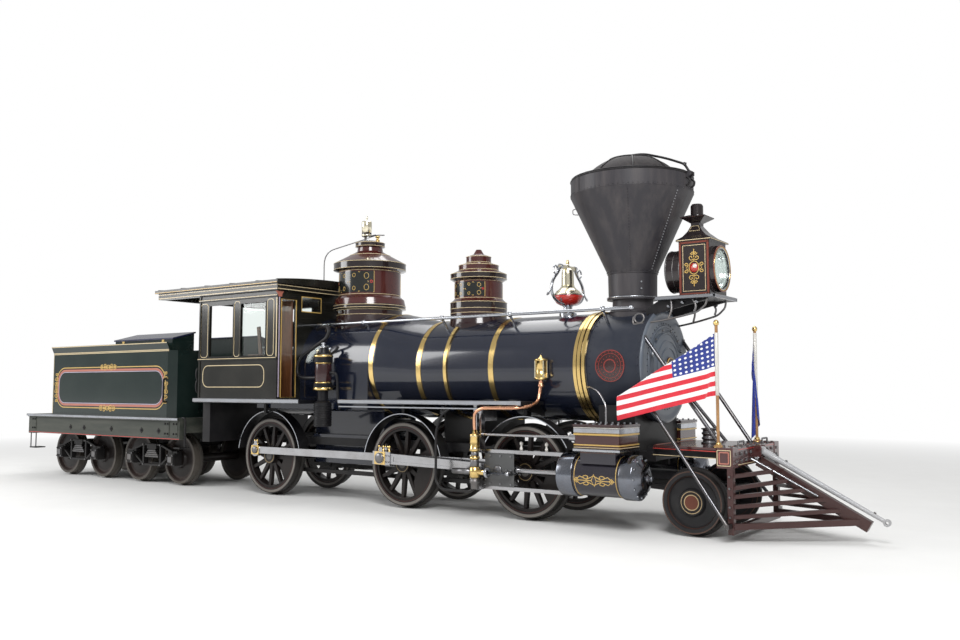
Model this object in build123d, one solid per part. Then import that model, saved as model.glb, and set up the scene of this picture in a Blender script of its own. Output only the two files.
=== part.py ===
from build123d import *
import math
import os

# Three foot gauge wood burning 2-6-0 locomotive with its tender.
# Millimetres. While it is built, X is measured forward from the front driving
# axle, Y to the left from the centre line and Z up from the wheel flanges.
# At export the whole is moved along X so that the origin is mid length.

# Driving dimensions
FRONT_TIP_X = 3276.0
REAR_TIP_X = -8800.0
GAP = 0.3
RUNNING_FIT = 0.05

FLANGE = 27.0
TYRE_INNER_Y = 425.0
TYRE_OUTER_Y = 552.0
FLANGE_WIDTH = 28.0
AXLE_R = 75.0

DRIVER_R = 457.0
DRIVER_Z = DRIVER_R + FLANGE
DRIVER_X = {"front": 0.0, "middle": -1606.0, "rear": -3760.0}
SPOKES = 12
CRANK_THROW = 203.0
CRANK_ANGLE_RIGHT = 160.0
CRANK_ANGLE_LEFT = 250.0
CRANK_PIN_R = 42.0
SIDE_ROD_Y = 612.0
SIDE_ROD_THICK = 40.0
MAIN_ROD_Y = 700.0
MAIN_ROD_THICK = 50.0
MAIN_ROD_LENGTH = 1600.0

CYLINDER_Y = MAIN_ROD_Y
CYLINDER_Z = 510.0
CYLINDER_R = 190.0
CYLINDER_RING_R = 203.0
CYLINDER_BACK_X = 537.0
CYLINDER_FRONT_X = 1317.0
PISTON_ROD_R = 28.0
WRIST_PIN_R = 32.0
CROSSHEAD_LENGTH = 346.0
CROSSHEAD_HALF_HEIGHT = 162.0
COUPLING_HOLE_R = 20.0
LINK_HOLE_R = 14.0

PONY_X = 1738.0
PONY_R = 279.0
PONY_PIVOT_X = 700.0

BOILER_Z = 1535.0
BOILER_R = 548.0
WAGON_TOP_R = 612.0
WAGON_TOP_Z = 1580.0
SMOKEBOX_R = 540.0
SMOKEBOX_WALL = 14.0
SMOKEBOX_BACK_X = 690.0
SMOKEBOX_FRONT_X = 1255.0
TAPER_FRONT_X = -1445.0
TAPER_REAR_X = -2000.0
BOILER_BACK_X = -3950.0
SMOKEBOX_DOOR_R = 330.0
SMOKEBOX_HINGE = (1282.0, 344.0)
FIRE_HINGE = (BOILER_BACK_X - 16, 186.0)
FIRE_DOOR_Z = 1560.0

STACK_X = 930.0
STEAM_DOME_X = -2627.0
SAND_DOME_X = -975.0
BELL_X = 180.0
HOOP_X = -1029.0
BONNET_HINGE_X = 1568.0
BONNET_HINGE_Z = 3421.0
STACK_RIM_Z = 3415.0
BONNET_CREST_Z = 3670.0

BELL_PIVOT_Z = 2590.0
LAMP_Z = 2452.0
LAMP_BACK_X = 1516.0
LAMP_FRONT_X = 1819.0
LAMP_CHIMNEY_X = 1620.0

CAB_FRONT_X = -3190.0
CAB_REAR_X = -4620.0
CAB_Y = 985.0
CAB_WALL = 38.0
DECK_Z = 1190.0
CAB_WALL_TOP_Z = 2480.0
ROOF_FRONT_X = -3120.0
ROOF_REAR_X = -5480.0
ROOF_Y = 1060.0
CAB_DOOR_HINGE_X = CAB_FRONT_X - CAB_WALL - 16
CAB_DOOR_HINGE_Y = 705.0
CAB_DOOR_BOTTOM_Z = 1214.0
CAB_DOOR_TOP_Z = 2376.0

PILOT_BEAM_X = 2150.0
PILOT_BEAM_TOP_Z = 800.0
PILOT_BEAM_BOTTOM_Z = 640.0

DRAWBAR_X = -4925.0
TENDER_FRONT_X = -5040.0
TENDER_REAR_X = -8700.0
TENDER_Y = 950.0
TENDER_SILL_BOTTOM_Z = 650.0
TENDER_DECK_Z = 930.0
TANK_FRONT_X = -5230.0
TANK_REAR_X = -8080.0
TANK_TOP_Z = 1820.0
TANK_COPING_Z = 1925.0
TRUCK_X = {"front": -6035.0, "rear": -7840.0}
TRUCK_HALF_BASE = 460.0
TRUCK_WHEEL_R = 330.0
BOX_LID_HINGE = (540.0, 2068.0)
HATCH_X = -7620.0
HATCH_HINGE = (-7890.0, 1972.0)

MID_X = (FRONT_TIP_X + REAR_TIP_X) / 2

os.makedirs("parts", exist_ok=True)


def block(x0, x1, y0, y1, z0, z1):
    """A box between two corners."""
    size = Box(x1 - x0, y1 - y0, z1 - z0)
    return Pos((x0 + x1) / 2, (y0 + y1) / 2, (z0 + z1) / 2) * size


def rod(start, end, radius):
    """A round bar between two points."""
    a = Vector(*start)
    b = Vector(*end)
    line = b - a
    plane = Plane(origin=a, z_dir=line)
    return extrude(plane * Circle(radius), line.length)


def flat_bar(start, end, width, thick, side):
    """A rectangular bar between two points; side is the direction of its thickness."""
    a = Vector(*start)
    b = Vector(*end)
    line = b - a
    plane = Plane(origin=a, x_dir=Vector(*side), z_dir=line)
    return extrude(plane * Rectangle(thick, width), line.length)


def disc_y(x, z, y0, y1, radius):
    """A round disc whose axis is across the engine."""
    return rod((x, y0, z), (x, y1, z), radius)


def disc_x(y, z, x0, x1, radius):
    """A round disc whose axis is along the engine."""
    return rod((x0, y, z), (x1, y, z), radius)


def tapered_rod(start, end, profile):
    """A turned bar between two points; profile is a list of (share of the length, radius)."""
    a = Vector(*start)
    line = Vector(*end) - a
    points = [(r, 0, share * line.length) for share, r in profile]
    turned = revolve(make_face(Polyline(*points, close=True)), Axis.Z)
    return Plane(origin=a, z_dir=line).location * turned


def turned_z(x, y, profile):
    """A form turned about an upright axis; profile is a list of (radius, height)."""
    points = [(r, 0, z) for r, z in profile]
    face = make_face(Polyline(*points, close=True))
    return Pos(x, y, 0) * revolve(face, Axis.Z)


def turned_x(y, z, profile):
    """A form turned about a lengthwise axis; profile is a list of (x, radius)."""
    points = [(px, 0, r) for px, r in profile]
    face = make_face(Polyline(*points, close=True))
    return Pos(0, y, z) * revolve(face, Axis.X)


def turned_y(x, z, profile):
    """A form turned about a cross axis; profile is a list of (y, radius)."""
    points = [(0, py, r) for py, r in profile]
    face = make_face(Polyline(*points, close=True))
    return Pos(x, 0, z) * revolve(face, Axis.Y)


def flat_y(points, y0, y1):
    """A plate outlined by (x, z) points that is as thick as y0 to y1."""
    outline = [(x, y0, z) for x, z in points]
    face = make_face(Polyline(*outline, close=True))
    return extrude(face, amount=abs(y1 - y0), dir=(0, 1 if y1 > y0 else -1, 0))


def flat_x(points, x0, x1):
    """A plate outlined by (y, z) points that is as thick as x0 to x1."""
    outline = [(x0, y, z) for y, z in points]
    face = make_face(Polyline(*outline, close=True))
    return extrude(face, amount=abs(x1 - x0), dir=(1 if x1 > x0 else -1, 0, 0))


def flat_z(points, z0, z1):
    """A plate outlined by (x, y) points that is as thick as z0 to z1."""
    outline = [(x, y, z0) for x, y in points]
    face = make_face(Polyline(*outline, close=True))
    return extrude(face, amount=z1 - z0, dir=(0, 0, 1))


def mirrored(shape):
    """The same shape on the other side of the centre line."""
    return mirror(shape, about=Plane.XZ)


def both_sides(shape):
    """A shape and its mirror image."""
    return [shape, mirrored(shape)]


def fused(shapes):
    """One solid out of several that touch."""
    whole = shapes[0]
    for shape in shapes[1:]:
        whole = whole + shape
    return whole


def laid_together(shapes):
    """Solids that meet face to face: each one is cut by those before it."""
    laid = []
    for shape in shapes:
        for earlier in laid:
            shape = shape - earlier
        laid.append(shape)
    return laid


def save(name, shapes):
    """Move the solids to the mid-length origin and write them as one sub-part."""
    if not isinstance(shapes, list):
        shapes = [shapes]
    solids = []
    for shape in shapes:
        solids.extend(shape.solids())
    moved = [Pos(-MID_X, 0, 0) * solid for solid in solids]
    export_step(moved[0] if len(moved) == 1 else Compound(children=moved), f"parts/{name}.step")


# Driving wheels, rods and crossheads

def crank_pin_place(axle_x, angle):
    """Where a crank pin's centre is, as (x, z)."""
    turn = math.radians(angle)
    return axle_x + CRANK_THROW * math.cos(turn), DRIVER_Z + CRANK_THROW * math.sin(turn)


def driving_wheel(axle_x, angle, weight_half_angle, pin_end_y):
    """One spoked wheel on the left side with its crank pin and balance weight."""
    tyre = turned_y(axle_x, DRIVER_Z, [
        (TYRE_INNER_Y, 398), (TYRE_INNER_Y, DRIVER_Z), (TYRE_INNER_Y + FLANGE_WIDTH, DRIVER_Z),
        (TYRE_INNER_Y + FLANGE_WIDTH + 8, DRIVER_R + 2), (TYRE_OUTER_Y, DRIVER_R), (TYRE_OUTER_Y, 398)])
    rim = turned_y(axle_x, DRIVER_Z, [(440, 366), (440, 400), (542, 400), (542, 366)])
    hub = disc_y(axle_x, DRIVER_Z, 430, 572, 98)
    wheel = fused([tyre, rim, hub])
    for step in range(SPOKES):
        spoke_angle = angle + 360.0 / SPOKES * (step + 0.5)
        spoke = flat_y([(80, -26), (80, 26), (374, 17), (374, -17)], 476, 524)
        turned = Pos(axle_x, 0, DRIVER_Z) * (Rot(0, -spoke_angle, 0) * spoke)
        wheel = wheel + turned
    sweep = math.radians(weight_half_angle)
    middle = math.radians(angle + 180)
    inner = 235.0
    edge = []
    for share in (-1.0, -0.5, 0.0, 0.5, 1.0):
        edge.append((axle_x + 380 * math.cos(middle + share * sweep),
                     DRIVER_Z + 380 * math.sin(middle + share * sweep)))
    chord = [(axle_x + inner * math.cos(middle + sweep * 0.75), DRIVER_Z + inner * math.sin(middle + sweep * 0.75)),
             (axle_x + inner * math.cos(middle - sweep * 0.75), DRIVER_Z + inner * math.sin(middle - sweep * 0.75))]
    wheel = wheel + flat_y(edge + chord, 462, 536)
    pin_x, pin_z = crank_pin_place(axle_x, angle)
    boss = disc_y(pin_x, pin_z, 450, 584, 78)
    arm = flat_bar((axle_x, 512, DRIVER_Z), (pin_x, 512, pin_z), 120, 110, (0, 1, 0))
    pin = disc_y(pin_x, pin_z, 584, pin_end_y, CRANK_PIN_R)
    return fused([wheel, boss, arm, pin])


def driving_wheelset(name):
    """Both wheels on one axle, with the right side's cranks a quarter turn from the left's."""
    axle_x = DRIVER_X[name]
    weight = 44.0 if name == "middle" else 30.0
    pin_end_y = SIDE_ROD_Y + SIDE_ROD_THICK / 2 + 8
    left = driving_wheel(axle_x, CRANK_ANGLE_LEFT, weight, pin_end_y)
    right = mirrored(driving_wheel(axle_x, CRANK_ANGLE_RIGHT, weight, pin_end_y))
    axle = disc_y(axle_x, DRIVER_Z, -436, 436, AXLE_R)
    return fused([axle, left, right])


def side_rod(angle):
    """The left side rod, which ties the three crank pins together."""
    centre = SIDE_ROD_Y
    half = SIDE_ROD_THICK / 2
    pins = [crank_pin_place(DRIVER_X[name], angle) for name in ("rear", "middle", "front")]
    pieces = []
    for index in (0, 1):
        start_x, start_z = pins[index]
        end_x, end_z = pins[index + 1]
        pieces.append(block(start_x, end_x, centre - half + 6, centre + half - 6, start_z - 42, start_z + 42))
    ends = {0: 78, 1: 88, 2: 78}
    for index, (pin_x, pin_z) in enumerate(pins):
        pieces.append(disc_y(pin_x, pin_z, centre - half, centre + half, ends[index]))
        pieces.append(block(pin_x - 24, pin_x + 24, centre - 16, centre + 16, pin_z + 60, pin_z + 112))
    whole = fused(pieces)
    for pin_x, pin_z in pins:
        whole = whole - disc_y(pin_x, pin_z, centre - half - 5, centre + half + 5, CRANK_PIN_R + RUNNING_FIT)
    return whole


def wrist_pin_x(angle):
    """Where the crosshead's pin stands for a crank angle."""
    pin_x, pin_z = crank_pin_place(DRIVER_X["middle"], angle)
    rise = CYLINDER_Z - pin_z
    return pin_x + math.sqrt(MAIN_ROD_LENGTH ** 2 - rise ** 2)


def main_rod(angle):
    """The left main rod with strap ends; its big end carries a stub of the crank pin."""
    big_x, big_z = crank_pin_place(DRIVER_X["middle"], angle)
    small_x = wrist_pin_x(angle)
    small_z = CYLINDER_Z
    half = MAIN_ROD_THICK / 2
    along = math.atan2(small_z - big_z, small_x - big_x)
    length = MAIN_ROD_LENGTH

    def placed(shape):
        return Pos(big_x, MAIN_ROD_Y, big_z) * (Rot(0, -math.degrees(along), 0) * shape)

    shank = flat_y([(60, -58), (60, 58), (length - 70, 42), (length - 70, -42)], -half + 6, half - 6)
    flute = flat_y([(190, -26), (190, 26), (length - 190, 16), (length - 190, -16)], half - 12, half)
    flute_back = flat_y([(190, -26), (190, 26), (length - 190, 16), (length - 190, -16)], -half, -half + 12)
    big_end = block(-105, 150, -half, half, -72, 72)
    small_end = block(length - 120, length + 62, -half, half, -54, 54)
    oil_cup = block(-22, 22, -16, 16, 60, 118)
    stub = Pos(0, 0, 0) * rod((0, -half - 5, 0), (0, half + 14, 0), 62)
    shape = fused([shank, big_end, small_end, oil_cup, stub]) - flute - flute_back
    shape = shape - rod((length, -half - 5, 0), (length, half + 5, 0), WRIST_PIN_R + RUNNING_FIT)
    return placed(shape)


def crosshead(angle):
    """The left crosshead with its wrist pin and piston rod."""
    x = wrist_pin_x(angle)
    half = CROSSHEAD_LENGTH / 2
    top = CYLINDER_Z + CROSSHEAD_HALF_HEIGHT
    bottom = CYLINDER_Z - CROSSHEAD_HALF_HEIGHT
    outer = [(x - half, bottom), (x + half, bottom), (x + half, bottom + 40), (x + half - 60, bottom + 95),
             (x + half, CYLINDER_Z - 50), (x + half, CYLINDER_Z + 50), (x + half - 60, top - 95),
             (x + half, top - 40), (x + half, top), (x - half, top), (x - half, top - 40),
             (x - half + 70, top - 95), (x - half + 70, bottom + 95), (x - half, bottom + 40)]
    body = flat_y(outer, CYLINDER_Y - 52, CYLINDER_Y + 52)
    slot_half = MAIN_ROD_THICK / 2 + 5
    slot = block(x - half - 5, x + 75, CYLINDER_Y - slot_half, CYLINDER_Y + slot_half,
                 CYLINDER_Z - 125, CYLINDER_Z + 125)
    pin = disc_y(x, CYLINDER_Z, CYLINDER_Y - 52, CYLINDER_Y + 66, WRIST_PIN_R)
    rod_end = CYLINDER_BACK_X + 150 + x - wrist_pin_x(180.0)
    piston_rod = disc_x(CYLINDER_Y, CYLINDER_Z, x + half - 10, rod_end, PISTON_ROD_R)
    collar = disc_x(CYLINDER_Y, CYLINDER_Z, x + half - 5, x + half + 45, 46)
    return fused([body - slot, pin, piston_rod, collar])


def guides():
    """The left crosshead guides, the yoke that holds them and the valve rod above."""
    top = CYLINDER_Z + CROSSHEAD_HALF_HEIGHT + GAP
    bottom = CYLINDER_Z - CROSSHEAD_HALF_HEIGHT - GAP
    back = -430.0
    y0 = CYLINDER_Y - 45
    y1 = CYLINDER_Y + 45
    upper = block(back, CYLINDER_BACK_X, y0, y1, top, top + 36)
    lower = block(back, CYLINDER_BACK_X, y0, y1, bottom - 36, bottom)
    yoke = block(-470, -430, 652, 800, 300, DECK_Z - 34 - GAP)
    yoke = yoke + block(-470, -430, 440, 800, 985, DECK_Z - 34 - GAP)
    window = block(-480, -420, 630, 762, 330, 690)
    chest_x = 756.0
    valve_rod = disc_x(780, 860, -380, chest_x - GAP, 16) + disc_x(780, 860, 640, chest_x - GAP, 34)
    arm = block(-392, -368, 750, 810, 830, 1110)
    shaft = block(-440, -360, 756, 800, 1070, 1110)
    return fused([upper, lower, yoke - window, valve_rod, arm, shaft])


def cylinder():
    """The left cylinder with its covers and the steam chest on top of it."""
    x0 = CYLINDER_BACK_X
    x1 = CYLINDER_FRONT_X
    body = turned_x(CYLINDER_Y, CYLINDER_Z, [
        (x0 - 60, 0), (x0 - 60, 58), (x0, 58), (x0, 150), (x0 + 14, CYLINDER_RING_R), (x0 + 170, CYLINDER_RING_R),
        (x0 + 170, CYLINDER_R), (x1 - 124, CYLINDER_R), (x1 - 124, CYLINDER_RING_R), (x1, CYLINDER_RING_R),
        (x1 + 10, 168), (x1 + 52, 128), (x1 + 66, 60), (x1 + 66, 30), (x1 + 92, 22), (x1 + 96, 0)])
    neck = block(800, 1160, 520, 880, CYLINDER_Z + 120, 765)
    chest = block(756, 1204, 500, 896, 762, 968)
    lid = block(744, 1216, 488, 908, 966, 986)
    foot = block(744, 1216, 488, 908, 748, 766)
    whole = fused([body, neck, chest, lid, foot])
    whole = whole - disc_x(CYLINDER_Y, CYLINDER_Z, x0 - 70, x1 - 150, PISTON_ROD_R + RUNNING_FIT)
    return whole - disc_x(CYLINDER_Y, CYLINDER_Z, x0 + 20, x1 - 120, 90)


# Pony truck and tender trucks

def disc_wheelset(axle_x, radius, journal_y):
    """Two cast disc wheels on an axle whose journals reach to journal_y."""
    z = radius + FLANGE
    profile = [
        (TYRE_INNER_Y, 0), (TYRE_INNER_Y, z), (TYRE_INNER_Y + FLANGE_WIDTH, z),
        (TYRE_INNER_Y + FLANGE_WIDTH + 8, radius + 2), (TYRE_OUTER_Y - 6, radius), (TYRE_OUTER_Y - 6, radius - 42),
        (TYRE_OUTER_Y - 42, radius - 60), (TYRE_OUTER_Y - 30, 128), (TYRE_OUTER_Y, 112), (TYRE_OUTER_Y, 0)]
    wheel = turned_y(axle_x, z, profile)
    reach = max(journal_y, TYRE_INNER_Y + 10)
    axle = disc_y(axle_x, z, -reach, reach, 58)
    return fused([axle, wheel, mirrored(wheel)])


def pony_frame():
    """The pony truck's frame between its wheels, with its radius bar back to the pivot."""
    z = PONY_R + FLANGE
    boxes = [block(PONY_X - 110, PONY_X + 110, y - 45, y + 45, z - 105, z + 120) for y in (-330, 330)]
    rails = [block(PONY_X - 330, PONY_X + 230, y - 25, y + 25, z + 60, z + 120) for y in (-330, 330)]
    front = block(PONY_X + 190, PONY_X + 230, -355, 355, z + 60, z + 120)
    bolster = block(PONY_X - 330, PONY_X - 250, -355, 355, z + 60, z + 120)
    centre = block(PONY_X - 300, PONY_X + 210, -60, 60, z + 85, z + 125)
    bars = [flat_bar((PONY_X - 290, y, z + 90), (PONY_PIVOT_X, y * 0.12, z + 90), 50, 50, (0, 0, 1))
            for y in (-300, 300)]
    eye = turned_z(PONY_PIVOT_X, 0, [(30.05, z + 60), (80, z + 60), (80, z + 120), (30.05, z + 120)])
    whole = fused(boxes + rails + [front, bolster, centre] + bars)
    whole = whole - rod((PONY_PIVOT_X, 0, z), (PONY_PIVOT_X, 0, z + 200), 60) + eye
    for y in (-330, 330):
        whole = whole - disc_y(PONY_X, z, y - 60, y + 60, 58 + RUNNING_FIT)
    return whole


def truck_frame(x):
    """An arch bar truck: side frames with boxes and springs, joined by a bolster."""
    z = TRUCK_WHEEL_R + FLANGE
    side_y = 625.0
    pieces = []
    for sign in (-1, 1):
        y = side_y * sign
        for end in (-1, 1):
            box_x = x + end * TRUCK_HALF_BASE
            journal = block(box_x - 75, box_x + 75, y - 55, y + 60, z - 80, z + 85)
            pieces.append(journal)
            pieces.append(block(box_x - 95, box_x + 95, y - 30, y + 30, z + 85, z + 110))
            pieces.append(flat_bar((box_x, y, z + 98), (x + end * 190, y, z + 185), 24, 70, (0, 1, 0)))
            pieces.append(flat_bar((box_x, y, z + 90), (x + end * 190, y, z - 90), 24, 70, (0, 1, 0)))
            pieces.append(block(x + end * 190 - 16, x + end * 190 + 16, y - 35, y + 35, z - 102, z + 197))
        pieces.append(block(x - 206, x + 206, y - 35, y + 35, z + 173, z + 197))
        pieces.append(block(x - 206, x + 206, y - 35, y + 35, z - 102, z - 78))
        for level in range(3):
            length = 150 - 36 * level
            low = z + 10 + 40 * level
            pieces.append(block(x - length, x + length, y - 34, y + 34, low, low + 40))
    spring_plank = block(x - 85, x + 85, -side_y + 30, side_y - 30, z - 100, z - 60)
    bolster = block(x - 105, x + 105, -side_y - 40, side_y + 40, z + 130, z + 197)
    centre = turned_z(x, 0, [(35.05, z + 190), (130, z + 190), (130, z + 230), (35.05, z + 230)])
    hole = rod((x, 0, z + 100), (x, 0, z + 300), 60)
    whole = fused(pieces + [spring_plank, bolster]) - hole + centre
    for end in (-1, 1):
        for sign in (-1, 1):
            box_x = x + end * TRUCK_HALF_BASE
            whole = whole - disc_y(box_x, z, sign * 560, sign * 662, 58 + RUNNING_FIT)
    return whole


# Engine frame and what stands on it

def engine_frame():
    """Two bar frames with pedestals, joined by cross pieces; the rear end is the drag beam."""
    pieces = []
    for sign in (-1, 1):
        y0 = sign * 350 - 42
        y1 = sign * 350 + 42
        pieces.append(block(-4560, 1300, y0, y1, 640, 730))
        for axle_x in DRIVER_X.values():
            for end in (-1, 1):
                leg_x = axle_x + end * 150
                pieces.append(block(leg_x - 42, leg_x + 42, y0, y1, 330, 660))
            pieces.append(block(axle_x - 192, axle_x + 192, y0, y1, 300, 345))
            pieces.append(block(axle_x - 112, axle_x + 112, y0 - 6, y1 + 6, 380, 585))
        pieces.append(block(-3600, -160, y0 + 12, y1 - 12, 300, 345))
        pieces.append(block(1300, PILOT_BEAM_X - 140 - GAP, y0 + 10, y1 - 10, 690, 780 - GAP))
        pieces.append(block(1240, 1330, y0, y1, 640, 780 - GAP))
    for x in (-4500, -1150, -620, 1260):
        pieces.append(block(x - 40, x + 40, -350, 350, 640, 700))
    for x in (-1150, -620):
        plate = block(x - 8, x + 8, -392, 392, 700, 1130)
        pieces.append(plate - disc_x(0, BOILER_Z, x - 50, x + 50, BOILER_R + GAP))
    drag_beam = block(-4700, -4560, -850, 850, 640, 1130)
    pin_block = block(-4985, -4690, -200, 200, 760, 830)
    draw_pin = rod((DRAWBAR_X, 0, 800), (DRAWBAR_X, 0, 905), 28)
    pivot_pin = rod((PONY_PIVOT_X, 0, 340), (PONY_PIVOT_X, 0, 480), 30)
    pivot_arm = block(PONY_PIVOT_X - 60, PONY_PIVOT_X + 60, -310, 310, 460, 520)
    pivot_hangers = [block(PONY_PIVOT_X - 60, PONY_PIVOT_X + 60, y - 30, y + 30, 460, 650) for y in (-330, 330)]
    whole = fused(pieces + [drag_beam, pin_block, draw_pin, pivot_arm, pivot_pin] + pivot_hangers)
    for axle_x in DRIVER_X.values():
        whole = whole - disc_y(axle_x, DRIVER_Z, -500, 500, AXLE_R + RUNNING_FIT)
    return whole


def boiler():
    """Straight front courses, a wagon top taper and the firebox with its back head."""
    barrel = disc_x(0, BOILER_Z, TAPER_FRONT_X, SMOKEBOX_BACK_X, BOILER_R)
    front = Plane(origin=(TAPER_FRONT_X, 0, BOILER_Z), x_dir=(0, 1, 0), z_dir=(1, 0, 0)) * Circle(BOILER_R)
    rear = Plane(origin=(TAPER_REAR_X, 0, WAGON_TOP_Z), x_dir=(0, 1, 0), z_dir=(1, 0, 0)) * Circle(WAGON_TOP_R)
    taper = loft([rear, front])
    wrapper = disc_x(0, WAGON_TOP_Z, BOILER_BACK_X, TAPER_REAR_X, WAGON_TOP_R)
    legs = block(BOILER_BACK_X, TAPER_REAR_X - 90, -WAGON_TOP_R, WAGON_TOP_R, 1075, WAGON_TOP_Z)
    firebox = block(-3230, TAPER_REAR_X - 120, -290, 290, 420, 1080)
    pads = block(-3180, TAPER_REAR_X - 140, -385, 385, 730 + GAP, 765)
    fire_hole = disc_x(0, FIRE_DOOR_Z, BOILER_BACK_X - 5, BOILER_BACK_X + 400, 140)
    return fused([barrel, taper, wrapper, legs, firebox, pads]) - fire_hole


def boiler_bands():
    """Brass bands and the polished half round hoop on the jacket."""
    bands = []
    table = ((-2045, 62, 5, WAGON_TOP_R, WAGON_TOP_Z), (-1401, 62, 5, BOILER_R, BOILER_Z),
             (HOOP_X, 40, 16, BOILER_R, BOILER_Z), (-434, 62, 5, BOILER_R, BOILER_Z),
             (566, 34, 14, BOILER_R, BOILER_Z), (612, 34, 20, BOILER_R, BOILER_Z), (658, 34, 14, BOILER_R, BOILER_Z))
    for x, width, proud, radius, centre_z in table:
        bands.append(turned_x(0, centre_z, [
            (x - width / 2, radius), (x - width / 2, radius + proud),
            (x + width / 2, radius + proud), (x + width / 2, radius)]))
    return bands


def smokebox():
    """A hollow drum in front of the boiler with its front ring."""
    drum = turned_x(0, BOILER_Z, [
        (SMOKEBOX_BACK_X, SMOKEBOX_R - SMOKEBOX_WALL), (SMOKEBOX_BACK_X, SMOKEBOX_R),
        (SMOKEBOX_FRONT_X - 40, SMOKEBOX_R), (SMOKEBOX_FRONT_X - 40, SMOKEBOX_R + 12),
        (SMOKEBOX_FRONT_X, SMOKEBOX_R + 12), (SMOKEBOX_FRONT_X, SMOKEBOX_R - 60),
        (SMOKEBOX_FRONT_X + 12, SMOKEBOX_R - 75), (SMOKEBOX_FRONT_X + 12, SMOKEBOX_DOOR_R - 40),
        (SMOKEBOX_FRONT_X - 8, SMOKEBOX_DOOR_R - 40), (SMOKEBOX_FRONT_X - 18, SMOKEBOX_R - SMOKEBOX_WALL)])
    hole = rod((STACK_X, 0, BOILER_Z + 300), (STACK_X, 0, BOILER_Z + 700), 150)
    x, y = SMOKEBOX_HINGE
    lugs = []
    for z in (BOILER_Z - 120, BOILER_Z + 120):
        lugs.append(block(SMOKEBOX_FRONT_X, x + 10, y - 10, y + 10, z + 21, z + 33))
        lugs.append(rod((x, y, z + 25), (x, y, z - 16), 6))
    return fused([drum - hole] + lugs)


def smokebox_door():
    """The dished door with its hinge straps."""
    x = SMOKEBOX_FRONT_X + 12 + GAP
    r = SMOKEBOX_DOOR_R
    leaf = turned_x(0, BOILER_Z, [(x, 0), (x, r), (x + 16, r - 6), (x + 34, r - 90), (x + 40, 90), (x + 40, 0)])
    hinge_x, hinge_y = SMOKEBOX_HINGE
    straps = []
    for z in (BOILER_Z - 120, BOILER_Z + 120):
        straps.append(block(hinge_x - 6, hinge_x + 12, 150, hinge_y, z - 20, z + 20))
        straps.append(rod((hinge_x, hinge_y, z - 20), (hinge_x, hinge_y, z + 20), 13))
    pin = rod((hinge_x, hinge_y, BOILER_Z - 200), (hinge_x, hinge_y, BOILER_Z + 200), 6 + RUNNING_FIT)
    return fused([leaf] + straps) - pin


def saddle():
    """The casting between the cylinders that carries the smokebox."""
    base = block(790, 1170, -487, 487, 560, 1160)
    cut = disc_x(0, BOILER_Z, 700, 1300, SMOKEBOX_R + GAP)
    base = base - cut - block(700, 1300, -260, 260, 500, 655)
    for sign in (-1, 1):
        y = sign * 350
        base = base - block(700, 1300, y - 42 - GAP, y + 42 + GAP, 500, 730 + GAP)
    return base


def stack():
    """Balloon stack: base on the smokebox, neck, cone and rim band, open inside."""
    rim = STACK_RIM_Z
    profile = [(236, 1900), (236, 2085), (215, 2110), (205, 2130), (202, 2200), (258, 2200), (258, 2220),
               (242, 2225), (246, 2460), (614, rim - 165), (614, rim), (602, rim), (602, rim - 160), (234, 2465),
               (230, 2235), (186, 2190), (160, 2100), (160, 1900)]
    body = turned_z(STACK_X, 0, profile) - disc_x(0, BOILER_Z, 400, 1500, SMOKEBOX_R + GAP)
    ears = [flat_y([(1536, rim - 45), (1536, rim - 2), (1550, rim - 2), (1550, BONNET_HINGE_Z + 10),
                    (BONNET_HINGE_X + 14, BONNET_HINGE_Z + 10), (BONNET_HINGE_X + 14, rim - 20)], y - 10, y + 10)
            for y in (-40, 40)]
    return fused([body] + ears + [disc_y(BONNET_HINGE_X, BONNET_HINGE_Z, -40, 40, 8)])


def stack_bonnet():
    """The domed top of wire netting in its flat ring, hinged at the front of the rim."""
    seat_z = STACK_RIM_Z + GAP
    rise = BONNET_CREST_Z - seat_z
    base_r = 505.0
    sphere_r = (base_r ** 2 + rise ** 2) / (2 * rise)
    centre = Pos(STACK_X, 0, BONNET_CREST_Z - sphere_r)
    shell = centre * Sphere(sphere_r) - centre * Sphere(sphere_r - 36)
    shell = shell & block(STACK_X - 700, STACK_X + 700, -700, 700, seat_z, 3800)
    ring = turned_z(STACK_X, 0, [(480, seat_z), (609, seat_z), (609, seat_z + 11), (480, seat_z + 14)])
    tab = block(1515, BONNET_HINGE_X, -25, 25, BONNET_HINGE_Z, BONNET_HINGE_Z + 12)
    barrel = disc_y(BONNET_HINGE_X, BONNET_HINGE_Z, -25, 25, 16)
    whole = fused([ring, shell, tab, barrel])
    return whole - disc_y(BONNET_HINGE_X, BONNET_HINGE_Z, -60, 60, 8 + RUNNING_FIT)


def dome(x, base_z, saddle_r, table):
    """A turned dome on the boiler top; table is a list of (radius, height)."""
    skirt = [(0, base_z - 130), (saddle_r, base_z - 130), (saddle_r, base_z + 20)]
    return turned_z(x, 0, skirt + table + [(0, table[-1][1])])


def steam_dome():
    """The large dome with its two mouldings, cap, whistle and safety valve."""
    body = dome(STEAM_DOME_X, 2110, 425, [
        (400, 2200), (400, 2268), (443, 2280), (443, 2320), (425, 2400), (376, 2440), (376, 2740), (443, 2760),
        (443, 2846), (380, 2880), (250, 2950), (160, 3000), (151, 3050), (180, 3060), (180, 3110), (120, 3130)])
    body = body - disc_x(0, WAGON_TOP_Z, -4000, -1000, WAGON_TOP_R + GAP)
    whistle = turned_z(STEAM_DOME_X - 60, 0, [(0, 3120), (30, 3120), (30, 3190), (60, 3200), (60, 3380), (0, 3400)])
    return body + whistle


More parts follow.
